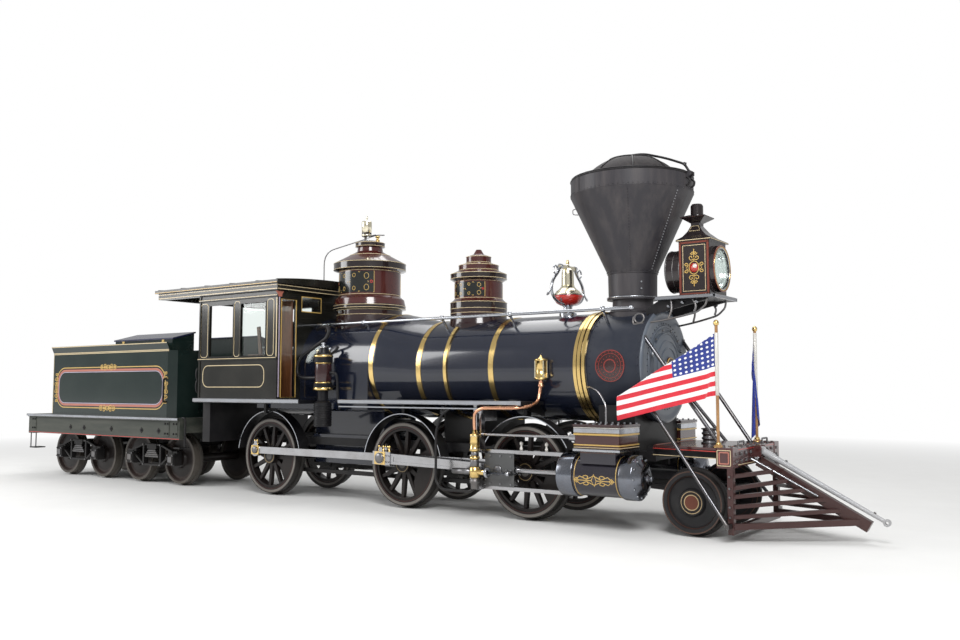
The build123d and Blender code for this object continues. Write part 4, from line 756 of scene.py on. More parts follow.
def make_stud_tree():
    """Tapered heads on points, each turned to the point's outward direction."""
    tree, given, result = new_tree("studs_on_points", [
        ("Radius", "NodeSocketFloat"), ("Height", "NodeSocketFloat"), ("Sides", "NodeSocketInt"),
        ("Top", "NodeSocketFloat"), ("Finish", "NodeSocketMaterial")])
    head = tree.nodes.new("GeometryNodeMeshCone")
    top = tree.nodes.new("ShaderNodeMath")
    top.operation = "MULTIPLY"
    outward = tree.nodes.new("GeometryNodeInputNamedAttribute")
    outward.data_type = "FLOAT_VECTOR"
    outward.inputs["Name"].default_value = "outward"
    turn = tree.nodes.new("FunctionNodeAlignRotationToVector")
    turn.axis = "Z"
    to_points = tree.nodes.new("GeometryNodeMeshToPoints")
    on_points = tree.nodes.new("GeometryNodeInstanceOnPoints")
    real = tree.nodes.new("GeometryNodeRealizeInstances")
    coloured = tree.nodes.new("GeometryNodeSetMaterial")
    link = tree.links.new
    link(given.outputs["Sides"], head.inputs["Vertices"])
    link(given.outputs["Radius"], head.inputs["Radius Bottom"])
    link(given.outputs["Radius"], top.inputs[0])
    link(given.outputs["Top"], top.inputs[1])
    link(top.outputs[0], head.inputs["Radius Top"])
    link(given.outputs["Height"], head.inputs["Depth"])
    link(given.outputs["Geometry"], to_points.inputs["Mesh"])
    link(to_points.outputs["Points"], on_points.inputs["Points"])
    link(head.outputs["Mesh"], on_points.inputs["Instance"])
    link(outward.outputs["Attribute"], turn.inputs["Vector"])
    link(turn.outputs["Rotation"], on_points.inputs["Rotation"])
    link(on_points.outputs["Instances"], real.inputs["Geometry"])
    link(real.outputs["Geometry"], coloured.inputs["Geometry"])
    link(given.outputs["Finish"], coloured.inputs["Material"])
    link(coloured.outputs["Geometry"], result.inputs["Geometry"])
    return tree


def make_tube_tree():
    """Round bars along the edges of a mesh."""
    tree, given, result = new_tree("bars_along_paths", [
        ("Radius", "NodeSocketFloat"), ("Sides", "NodeSocketInt"), ("Finish", "NodeSocketMaterial")])
    curve = tree.nodes.new("GeometryNodeMeshToCurve")
    circle = tree.nodes.new("GeometryNodeCurvePrimitiveCircle")
    bars = tree.nodes.new("GeometryNodeCurveToMesh")
    bars.inputs["Fill Caps"].default_value = True
    smooth = tree.nodes.new("GeometryNodeSetShadeSmooth")
    real = tree.nodes.new("GeometryNodeRealizeInstances")
    coloured = tree.nodes.new("GeometryNodeSetMaterial")
    link = tree.links.new
    link(given.outputs["Geometry"], curve.inputs["Mesh"])
    link(given.outputs["Sides"], circle.inputs["Resolution"])
    link(given.outputs["Radius"], circle.inputs["Radius"])
    link(curve.outputs["Curve"], bars.inputs["Curve"])
    link(circle.outputs["Curve"], bars.inputs["Profile Curve"])
    link(bars.outputs["Mesh"], smooth.inputs["Geometry"])
    link(smooth.outputs["Geometry"], real.inputs["Geometry"])
    link(real.outputs["Geometry"], coloured.inputs["Geometry"])
    link(given.outputs["Finish"], coloured.inputs["Material"])
    link(coloured.outputs["Geometry"], result.inputs["Geometry"])
    return tree


STUD_TREE = make_stud_tree()
TUBE_TREE = make_tube_tree()


def run_tree(name, mesh, tree, values, finish):
    """The plain mesh that a geometry tree makes of a mesh."""
    carrier = bpy.data.objects.new(f"{name}_points", mesh)
    bpy.context.scene.collection.objects.link(carrier)
    modifier = carrier.modifiers.new("tree", "NODES")
    modifier.node_group = tree
    for socket in tree.interface.items_tree:
        if socket.in_out == "INPUT" and socket.name in values:
            modifier[socket.identifier] = values[socket.name]
        elif socket.in_out == "INPUT" and socket.name == "Finish":
            modifier[socket.identifier] = finish
    depsgraph = bpy.context.evaluated_depsgraph_get()
    made = bpy.data.meshes.new_from_object(carrier.evaluated_get(depsgraph))
    made.name = name
    bpy.data.objects.remove(carrier)
    return made


def studs(name, spots, radius, height, sides, top, finish, body):
    """Rivets or bolt heads; spots are (place, outward direction)."""
    mesh = bpy.data.meshes.new(f"{name}_spots")
    mesh.from_pydata([tuple(place(point)) for point, _ in spots], [], [])
    outward = mesh.attributes.new("outward", "FLOAT_VECTOR", "POINT")
    for index, (_, normal) in enumerate(spots):
        outward.data[index].vector = Vector(normal).normalized()
    values = {"Radius": radius / 1000, "Height": height / 1000, "Sides": sides, "Top": top}
    return seat(name, run_tree(name, mesh, STUD_TREE, values, finish), body)


def eased(path, steps=6):
    """A path with its corners rounded, through a spline that keeps its ends."""
    if len(path) < 3:
        return [Vector(point) for point in path]
    points = [Vector(point) for point in path]
    line = [points[0]]
    for index in range(1, len(points) - 1):
        before = points[index - 1]
        here = points[index]
        after = points[index + 1]
        reach = min((here - before).length, (after - here).length) * 0.42
        start = here + (before - here).normalized() * reach
        end = here + (after - here).normalized() * reach
        for step in range(steps + 1):
            share = step / steps
            line.append(start * (1 - share) ** 2 + here * 2 * share * (1 - share) + end * share ** 2)
    line.append(points[-1])
    return line


def bars(name, paths, radius, finish, body, slot, sides=10, ease=True):
    """Round bars or pipes along several paths."""
    points = []
    edges = []
    for path in paths:
        line = eased(path) if ease else [Vector(point) for point in path]
        start = len(points)
        points.extend(place(point) for point in line)
        edges.extend((start + index, start + index + 1) for index in range(len(line) - 1))
    mesh = bpy.data.meshes.new(f"{name}_paths")
    mesh.from_pydata([tuple(point) for point in points], edges, [])
    return seat(name, run_tree(name, mesh, TUBE_TREE, {"Radius": radius / 1000, "Sides": sides}, finish), body)


# Stack and its bonnet

CONE_LOW, CONE_HIGH = (246.0, 2460.0), (614.0, 3250.0)
CONE_SLOPE = (CONE_HIGH[0] - CONE_LOW[0]) / (CONE_HIGH[1] - CONE_LOW[1])
BONNET_CENTRE_Z, BONNET_R = 3042.0, 628.0


def stack_spot(azimuth, z, radius=None):
    """A place on the stack with its outward direction; without a radius it lies on the cone."""
    turn = math.radians(azimuth)
    rise = -CONE_SLOPE if radius is None else 0.0
    reach = radius or CONE_LOW[0] + (z - CONE_LOW[1]) * CONE_SLOPE
    return (STACK_X + reach * math.cos(turn), reach * math.sin(turn), z), (math.cos(turn), math.sin(turn), rise)


def bonnet_spot(azimuth, radius):
    """A place just over the netting of the bonnet, or on its flat rim past the netting."""
    turn = math.radians(azimuth)
    z = BONNET_CENTRE_Z + math.sqrt(BONNET_R ** 2 - radius ** 2) + 3 if radius < 505 else 3428
    return STACK_X + radius * math.cos(turn), radius * math.sin(turn), z


row_rivets = [stack_spot(4.5 * step, 3272, 614) for step in range(80)]
row_rivets += [stack_spot(11.25 * step, 2480) for step in range(32)]
for seam in (-68.0, 100.0, 190.0):
    row_rivets += [stack_spot(seam, 2500 + 26 * step) for step in range(29)]
studs("stack_rivets", row_rivets, 7, 5, 8, 0.55, stack_grey, "engine")
# The main seam's rivets take the lighter grey as a painted highlight
studs("stack_seam", [stack_spot(-18, 2495 + 25 * step) for step in range(30)], 8.5, 7, 8, 0.55, lit_rivet_grey,
      "engine")
studs("stack_neck_bolts", [stack_spot(-45, z, 245) for z in (2298, 2365)], 11, 9, 6, 0.9, bright_steel,
      "engine")

stack_trim = Piece()
for radius, z, thickness, finish in ((614, 3413, 7, bonnet_black), (614, 3256, 4, stack_grey),
                                     (248, 2462, 6, stack_grey), (254, 2222, 7, bright_steel),
                                     (238, 2080, 6, stack_grey)):
    stack_trim.ring((STACK_X, 0, z), "z", radius, thickness, finish, steps=72)
for seam in (-123.0, 57.0):
    stack_trim.patch(upright_surface(STACK_X, 0, 614), seam - 2.5, seam + 2.5, 3258, 3408, stack_grey,
                     proud=5.0, steps=3)
stack_trim.build("stack_trim", "engine")
handle = [stack_spot(-154, z, reach)[0] for z, reach in ((3150, 566), (3142, 596), (3092, 596), (3088, 540))]
bars("stack_handle", [handle], 5, dark_steel, "engine", "smoke_grey", sides=6)

rib_paths = [[bonnet_spot(-62 + 45 * rib, radius) for radius in (225, 290, 355, 415, 465, 503)]
             for rib in range(8)]
rib_paths += [[bonnet_spot(10 * step, radius) for step in range(37)] for radius in (225, 510, 606)]
bars("bonnet_ribs", rib_paths, 9, bonnet_black, "stack_bonnet", "smoke_grey", sides=6, ease=False)
bars("bonnet_bar", [[(690, 0, 3642), (930, 0, 3688), (1075, 0, 3680), (1308, 0, 3602), (1500, 0, 3516),
                     (1545, 0, 3440)]],
     12, bonnet_black, "stack_bonnet", "smoke_grey")
bars("bonnet_hook", [[(1545, y, 3368), (1580, y, 3340), (1572, y, 3300), (1545, y, 3285)] for y in (-58, 58)],
     10, bonnet_black, "engine", "smoke_grey")
studs("bonnet_bar_knob", [((1500, 0, 3506), (0.4, 0, 1))], 22, 26, 8, 0.7, bonnet_black, "stack_bonnet")

# Domes and whistle

def dress_dome(name, x, drum_radius, drum_low, drum_high, rings):
    """Gold lines on a dome's mouldings and a dark panel with tracery on each side."""
    dress = Piece()
    for radius, z in rings:
        dress.ring((x, 0, z), "z", radius, 3.5, cream_paint, steps=56, sides=6)
    drum = upright_surface(x, 0, drum_radius)
    for side in (-90.0, 90.0):
        low = drum_low + 14
        high = drum_high - 14
        middle = (low + high) / 2
        half = (high - low) / 2
        dress.patch(drum, side - 50, side + 50, low, high, panel_black, proud=1.5)
        dress.draw([rounded_frame(side - 50, side + 50, low, high, 1.0, 2)], drum, 6, gold_paint, proud=3.0)
        lines = []
        for way in (-1, 1):
            lines.append([(side + way * 2, middle), (side + way * 22, high - 4)])
            lines.append([(side + way * 2, middle), (side + way * 22, low + 4)])
            lines.append([(side + way * 22, high - 4), (side + way * 40, middle), (side + way * 22, low + 4)])
            lines.append([(side, middle), (side + way * 47, middle)])
            for up in (-1, 1):
                lines.append(oval(side + way * 36, middle + up * half * 0.55, 4.2, half * 0.28, 14))
                lines.append(oval(side + way * 12, middle + up * half * 0.62, 3.0, half * 0.18, 12))
        dress.draw(lines, drum, 5, gold_paint, proud=3.0)
        for way in (-1, 1):
            dress.draw([oval(side + way * 45, middle, 2.0, half * 0.12, 10)], drum, 9, signal_red, proud=3.4)
    return dress.build(name, "engine")


dress_dome("steam_dome_lines", STEAM_DOME_X, 376.5, 2455, 2735, [
    (402, 2204), (401, 2264), (444, 2284), (444, 2318), (378, 2449), (378, 2738), (444, 2764), (444, 2842),
    (252, 2950), (181, 3063), (181, 3107)])
dress_dome("sand_dome_lines", SAND_DOME_X, 270.5, 2322, 2510, [
    (319, 2152), (321, 2202), (321, 2273), (272, 2318), (271, 2513), (319, 2543), (319, 2597), (227, 2643),
    (227, 2698), (142, 2733), (142, 2797)])

whistle = Piece()
whistle.turned((-2687, 0, 0), "z",
               [(34, 3118), (34, 3150), (26, 3160), (26, 3188), (50, 3196), (62, 3206), (62, 3226),
                (55, 3230), (55, 3244), (62, 3248), (62, 3376), (56, 3392), (14, 3402), (8, 3410),
                (8, 3430), (14, 3438), (6, 3462), (2, 3466)], pale_brass)
whistle.turned((-2540, 40, 0), "z",
               [(26, 3128), (26, 3150), (16, 3156), (16, 3176), (30, 3182), (30, 3196), (6, 3202)],
               brass)
whistle.turned((-2600, -70, 0), "z", [(20, 3128), (20, 3146), (12, 3150), (12, 3172), (20, 3176), (4, 3186)],
               mirror_silver)
whistle.build("whistle", "engine")
bars("whistle_rods", [[(-2660, -20, 3172), (-3392, -30, 3060), (-3392, -30, 2655)],
                      [(-2700, 30, 3190), (-2560, 45, 3215), (-2450, 60, 3205)],
                      [(-2610, -70, 3185), (-2500, -40, 3200)]], 7, dark_steel, "engine", "rod_steel", sides=8)

# Bell and its stand

bell_cup = Piece()
bell_cup.turned((BELL_X, 0, 0), "z",
                [(48, 2190), (75, 2188), (120, 2213), (158, 2267), (158, 2291), (144.5, 2291),
                 (144, 2276), (108, 2234.5), (60, 2218), (2, 2218)], signal_red)
bell_cup.ring((BELL_X, 0, 2291), "z", 151, 5, bright_steel)
bell_cup.build("bell_cup", "engine")
lyre_scrolls = []
for sign in (-1, 1):
    lyre_scrolls.append([(BELL_X, sign * (251 + 42 * math.cos(math.radians(a))),
                          2545 + 42 * math.sin(math.radians(a)))
                         for a in range(0, 331, 15)])
    lyre_scrolls.append([(BELL_X, sign * y, z) for y, z in ((332, 2345), (372, 2312), (408, 2282))])
    lyre_scrolls.append([(BELL_X, sign * y, z) for y, z in ((60, 2172), (110, 2205), (150, 2262))])
bars("bell_lyre", lyre_scrolls, 9, bright_steel, "engine", "rod_steel", ease=False)
studs("bell_lyre_knobs", [((BELL_X, sign * 400, 2288), (0, sign, -0.75)) for sign in (-1, 1)], 15, 30, 12, 0.6,
      bright_steel, "engine")
bell_trim = Piece()
for radius, z in ((148.5, 2305), (121, 2338), (67, 2400)):
    bell_trim.ring((BELL_X, 0, z), "z", radius, 3.5, pale_brass)
bell_trim.turned((BELL_X, 0, 0), "z", [(14, 2630), (19, 2640), (13, 2650), (15, 2660), (8, 2672), (1, 2676)],
                 brass, 20)
bell_trim.build("bell_trim", "bell")

# Head lamp

lamp = Piece()
for sign in (-1, 1):
    panel = side_surface(sign * LAMP_SIDE_Y)
    lamp.draw([rounded_frame(1531, 1804, 2207, 2698, 3, 2)], panel, 19, frame_red, proud=6)
    lamp.draw([rounded_frame(1558, 1777, 2236, 2669, 3, 2)], panel, 5, cream_paint, proud=3)
    ornament = [oval(LAMP_X, LAMP_Z, 48, 62)]
    for up in (-1, 1):
        for way in (-1, 1):
            ornament.append(scroll(LAMP_X + way * 27, LAMP_Z + up * 96, 28, 180 if way > 0 else 0,
                                   1.1 * way * up))
            ornament.append(scroll(LAMP_X + way * 16, LAMP_Z + up * 140, 17, 0 if way > 0 else 180,
                                   -1.1 * way * up))
            ornament.append(scroll(LAMP_X + way * 78, LAMP_Z + up * 30, 23, 270 * up, -1.2 * way * up))
        ornament.append([(LAMP_X, LAMP_Z + up * 62), (LAMP_X, LAMP_Z + up * 178)])
    lamp.draw(ornament, panel, 7, gold_paint, proud=4)
    for dx, dz, radius, finish in ((0, 0, 44, signal_red), (6, 12, 27, pearl_white)):
        face = [(radius, 0), (radius, sign * 3.0), (2, sign * (5.0 + dz / 6))][::sign]
        lamp.turned((LAMP_X + dx, sign * LAMP_SIDE_Y, LAMP_Z + dz), "y", face, finish, 24)
    lamp.draw([[(1500, 2720), (1838, 2720)]], side_surface(sign * 236.0), 6, cream_paint)
    neck_side = [(1576, sign * 97, 2827), (1684, sign * 97, 2827), (1654, sign * 62, 2877),
                 (1590, sign * 62, 2877)]
    lamp.stripe(neck_side, [(0, sign * 0.82, 0.57)] * 4, 5, cream_paint, closed=True)
for x, nx in ((1842, 1), (1496, -1)):
    lamp.stripe([(x, -232, 2720), (x, 232, 2720)], [(nx, 0, 0)] * 2, 6, cream_paint)
for radius, x, thickness, finish in ((219, 1860, 6, frame_red), (207, 1862, 4, brass),
                                     (205, 1370, 5, dark_steel), (205, 1440, 4, dark_steel),
                                     (206, 1508, 5, dark_steel)):
    lamp.ring((x, 0, LAMP_GLASS[2]), "x", radius, thickness, finish)
lamp.turned(LAMP_GLASS, "x", [(191, 1858), (203, 1858), (203, 1863), (191, 1863)], bright_steel, 48,
            closed=True)
lamp.turned(LAMP_GLASS, "x", [(26, 1704), (108, 1714), (160, 1750), (184, 1806), (187, 1834), (189, 1834),
                              (188.5, 1804), (163, 1744), (112, 1706), (26, 1696)], mirror_silver)
lamp.turned((1735, 0, LAMP_GLASS[2]), "x", [(20, -20), (24, 10), (16, 34), (4, 46)], pearl_white, steps=20)
lamp.stripe([(1742, -122, 2964), (1742, 122, 2964), (1498, 122, 2964), (1498, -122, 2964)],
            [(1, -1, 0), (1, 1, 0), (-1, 1, 0), (-1, -1, 0)], 8, frame_red, proud=3, closed=True)
lamp.ring((1620, 0, 2976), "z", 61, 4, frame_red, steps=24)
lamp.build("lamp_dress", "engine")
shelf = Piece()
for y0, y1 in ((-302, -288), (288, 302)):
    shelf.block(1304, 1893, y0, y1, 2158, 2194, bright_steel, 5)
shelf.block(1880, 1893, -302, 302, 2158, 2194, bright_steel, 5)
shelf.build("lamp_shelf_edge", "engine")
shelf_bars = []
for sign in (-1, 1):
    shelf_bars.append([(1104, sign * 352, 2008), (1096, sign * 352, 1960), (1112, sign * 362, 1932),
                       (1180, sign * 352, 1935), (1450, sign * 305, 1972), (1712, sign * 262, 2030),
                       (1790, sign * 250, 2100), (1800, sign * 248, 2156)])
    shelf_bars.append([(1440, sign * 306, 1980), (1470, sign * 290, 2060), (1452, sign * 262, 2156)])
    shelf_bars.append([(1680, sign * 262, 2036), (1700, sign * 256, 2090), (1664, sign * 250, 2156)])
    shelf_bars.append(side_circle(1160, sign * 344, 1990, 50, 46, range(0, 361, 20)))
bars("lamp_brackets", shelf_bars, 10, dark_steel, "engine", "frame_black", sides=8)
studs("lamp_bracket_bosses", [((x, sign * 252.0, z), (0, sign, 0)) for sign in (-1, 1)
                              for x, z in ((1420, 2100), (1560, 2130), (1700, 2130))],
      16, 16, 12, 0.7, bright_steel, "engine")

# Smokebox and boiler

DEGREES_PER_MM = 57.3 / SMOKEBOX_R
box_rivets = []
for index in range(46):
    turn = 2 * math.pi * index / 46
    for x, reach in ((715.0, SMOKEBOX_R), (1228.0, 552.0)):
        box_rivets.append(((x, reach * math.cos(turn), BOILER_Z + reach * math.sin(turn)),
                           (0, math.cos(turn), math.sin(turn))))
    box_rivets.append(((1267, 420 * math.cos(turn), BOILER_Z + 420 * math.sin(turn)), (1, 0, 0)))
studs("smokebox_rivets", box_rivets, 8, 6, 8, 0.55, smoke_grey, "engine")
# The front's rings take the lighter front grey, a painted reflection
front = Piece()
front.turned((0, 0, BOILER_Z), "x",
             [(548, 1248), (556, 1256), (552, 1270), (520, 1276), (500, 1268), (470, 1268)], front_reflection_grey,
             steps=64)
for radius, thickness in ((395, 10), (366, 7)):
    front.ring((1268, 0, BOILER_Z), "x", radius, thickness, front_reflection_grey, steps=64)
for sign in (-1, 1):
    plate_side = barrel_surface(0, BOILER_Z, SMOKEBOX_R, sign)
    front.draw([oval(SMOKEBOX_X, 0.0, reach, reach * DEGREES_PER_MM, 32) for reach in (17, 49, 81, 113, 137)],
               plate_side, 34, wine_dark, proud=3)
    for reach, width in ((150, 9), (118, 5), (60, 10)):
        front.draw([oval(SMOKEBOX_X, 0.0, reach, reach * DEGREES_PER_MM, 32)], plate_side, width, plate_red,
                   proud=6)
    studs_round = [plate_side(SMOKEBOX_X + reach * math.cos(turn), reach * DEGREES_PER_MM * math.sin(turn))
                   for reach, count in ((134, 22), (90, 16)) for turn in
                   [2 * math.pi * index / count for index in range(count)]]
    studs(f"side_plate_studs_{'right' if sign < 0 else 'left'}", studs_round, 6, 8, 8, 0.6, plate_red, "engine")
front.build("smokebox_front", "engine")
# The door and its rings take the same lighter grey, a painted reflection
door = Piece()
for radius, x in ((322, 1287), (250, 1302), (180, 1306), (96, 1310)):
    door.ring((x, 0, BOILER_Z), "x", radius, 6, front_reflection_grey, steps=56)
door.turned((0, 0, BOILER_Z), "x", [(88, 1306), (92, 1318), (78, 1326), (10, 1328)], wine_dark)
door.ring((1326, 0, BOILER_Z), "x", 80, 4, gold_paint)
door.build("smokebox_door_rings", "smokebox_door")
dogs = [((1284, 358 * math.cos(turn), BOILER_Z + 358 * math.sin(turn)), (1, 0, 0))
        for turn in [2 * math.pi * (index + 0.5) / 12 for index in range(12)]]
studs("smokebox_door_dogs", dogs, 12, 14, 6, 0.85, dark_steel, "engine")

seam_spots = []
for sign in (-1, 1):
    for start, end, centre_z, radius, angle in ((-3150, -2040, WRAPPER_Z, WRAPPER_R, 35.0),
                                                (-1360, 500, BOILER_Z, JACKET_R, 23.0)):
        skin = barrel_surface(0, centre_z, radius, sign)
        seam_spots += [skin(x, angle) for x in range(start, end, 42)]
    for step in range(14):
        share = step / 13
        skin = barrel_surface(0, WRAPPER_Z - 45 * share, WRAPPER_R - 64 * share, sign)
        seam_spots.append(skin(-2000 + 555 * share, 35.0 - 12 * share))
studs("jacket_seam", seam_spots, 4.5, 3.5, 6, 0.6, jacket_blue, "engine")

bars("steam_pipes", [[(-2960, -560, 2022), (-2780, -655, 2042), (-2640, -702, 2036), (-2604, -714, 1978),
                      (-2640, -718, 1905), (-3030, -728, 1702), (-3112, -730, 1600), (-3098, -740, 1474),
                      (-2990, -758, 1440), (-2720, -768, 1440)]], 22, frame_black, "engine", "frame_black",
     sides=14)
bars("pump_pipes", [[(-2530, -770, 1500), (-2440, -770, 1490), (-2425, -760, 1440), (-2425, -740, 1190),
                     (-2440, -700, 1080)],
                    [(-2640, -690, 1690), (-2560, -650, 1760), (-2560, -610, 1800)],
                    [(-2740, -770, 1020), (-2800, -740, 1000), (-2830, -640, 960)]],
     16, frame_black, "engine", "frame_black")

# Handrail bosses, and the bright edges of the running boards and splashers

rail_y = 720 * math.cos(math.radians(50))
rail_z = BOILER_Z + 720 * math.sin(math.radians(50))
trim = Piece()
for sign in (-1, 1):
    for x in (-2300.0, -1140.0, -250.0, 830.0):
        trim.turned((x, sign * rail_y, rail_z), "x", [(17, -26), (27, -16), (30, 0), (27, 16), (17, 26)],
                    bright_steel, 16)
    trim.turned((1130, sign * rail_y, rail_z), "x", [(17, -14), (28, -4), (28, 14), (12, 28), (2, 32)],
                bright_steel, 16)
    trim.block(-2286, 156, sign * 872, sign * 892, 1152, 1196, bright_steel, 7)
    trim.block(-4706, -2794, sign * 994, sign * 1012, 1146, 1194, bright_steel, 7)
    trim.block(-2286, 40, sign * 868, sign * 876, 1108, 1124, bright_steel, 3)
    for name, x in DRIVERS.items():
        edge = side_circle(x, sign * 585, DRIVER_Z, 553, 553, range(8, 174, 4))
        if name == "drivers_front":
            edge = edge[5:-5]
        trim.stripe(edge, [(0, sign, 0)] * len(edge), 9, bright_steel, proud=4)
trim.build("bright_edges", "engine")

# Cab

cab = Piece()
for sign in (-1, 1):
    y = sign * CAB_SIDE_Y
    wall = side_surface(y)
    for x0, x1 in ((-4440, -3970), (-3850, -3380)):
        cab.draw([rounded_frame(x0 + 4, x1 - 4, 1704, 2356, 4, 2)], wall, 16, cab_black, proud=8)
    for x0, x1 in ((-4602, -4466), (-3962, -3858), (-3366, -3252)):
        cab.draw([rounded_frame(x0, x1, 1706, 2380, 40, 5)], wall, 7, cream_paint)
    cab.draw([rounded_frame(-4546, -3409, 1333, 1599, 95)], wall, 9, cream_paint)
    cab.draw([[(-3203, 1690), (-3203, 2392)]], wall, 13, cream_paint)
    for z0, z1, proud in ((1662, 1688, 24), (2404, 2430, 18)):
        cab.block(-4632, -3178, y - sign * 2, y + sign * proud, z0, z1, cab_black, 6)
        cab.draw([[(-4625, z1 - 7), (-3185, z1 - 7)]], side_surface(y + sign * (proud - 2)), 7, cream_paint,
                 proud=3)
    cab.block(-4630, -4598, y - sign * 3, y + sign * 12, 1200, 2480, cab_black, 5)
    eave = side_surface(sign * 1030.0)
    for z in (2494.0, 2540.0):
        cab.draw([[(-5436, z), (-3154, z)]], eave, 9, cream_paint, proud=3)
    cab.draw([[(-5476, 2568), (-3124, 2568)]], side_surface(sign * 1060.0), 8, gold_paint, proud=2)
    cab.stripe([(-3186, sign * 962, 1216), (-3186, sign * 962, 2400)], [(1, 0, 0)] * 2, 14, line_lavender,
               proud=4)
    corner = [(-3184, sign * 1024, 2470), (-3184, sign * 900, 2470), (-3184, sign * 926, 2436),
              (-3184, sign * 930, 2404), (-3184, sign * 988, 2404), (-3184, sign * 994, 2440)]
    cab.add([(x + dx, cy, z) for dx in (-4, 8) for x, cy, z in corner],
            [list(range(6))[::sign], list(range(6, 12))[::-sign]]
            + [[i, (i + 1) % 6, (i + 1) % 6 + 6, i + 6][::-sign] for i in range(6)], line_pink, smooth=False)
    for y0, y1, z0, z1 in ((690, 925, 1212, 2380), (275, 600, 2250, 2430)):
        corners = [(-3190, sign * y0, z0), (-3190, sign * y1, z0), (-3190, sign * y1, z1),
                   (-3190, sign * y0, z1)]
        cab.stripe(corners, [(1, 0, 0)] * 4, 12, gold_paint, proud=4, closed=True)
for z in (2494.0, 2540.0):
    cab.stripe([(-3150, -1028, z), (-3150, 1028, z)], [(1, 0, 0)] * 2, 9, cream_paint, proud=3)
cab.build("cab_lines", "engine")
roof_top = Piece()
for x in (-5440, -4960, -4480, -4000, -3520, -3160):
    path = [(x, y, 2661 - (y / 1060.0) ** 2 * 60) for y in range(-1040, 1041, 130)]
    roof_top.stripe(path, [(0, 0, 1)] * len(path), 16, cab_black, proud=7)
roof_top.block(-4440, -3900, -200, 200, 2652, 2700, cab_black, 14)
roof_top.block(-4400, -3940, -170, 170, 2700, 2712, stack_grey, 4)
roof_top.build("roof_ribs_hatch", "engine")
hose_loops = [[(-4712, sign * (930 + 30 * math.sin(turn)), z + reach * math.cos(turn))
               for turn in [math.radians(a) for a in range(0, 361, 20)]]
              for sign in (-1, 1) for z, reach in ((1500, 74), (1345, 82))]
bars("cab_hoses", hose_loops, 11, frame_black, "engine", "frame_black", ease=False)

# Gauges and try cocks on the boiler's back head

fittings = Piece()
for y, z, radius in ((-180, 1900, 75), (120, 1930, 60), (330, 1860, 50)):
    fittings.turned((-3960, y, z), "x", [(radius, 0), (radius, -34), (radius - 10, -42), (radius - 12, -38),
                                         (4, -38)], brass, 28)
    fittings.turned((-3999, y, z), "x", [(radius - 14, 0), (radius - 16, -2), (3, -2)], pearl_white, 28)
for y in (-120, 0, 120):
    fittings.turned((-3950, y, 1740), "x", [(10, 0), (10, -70), (22, -74), (22, -90), (6, -96)], brass, 14)
fittings.build("back_head_fittings", "engine")

# Rods, crossheads and cylinders


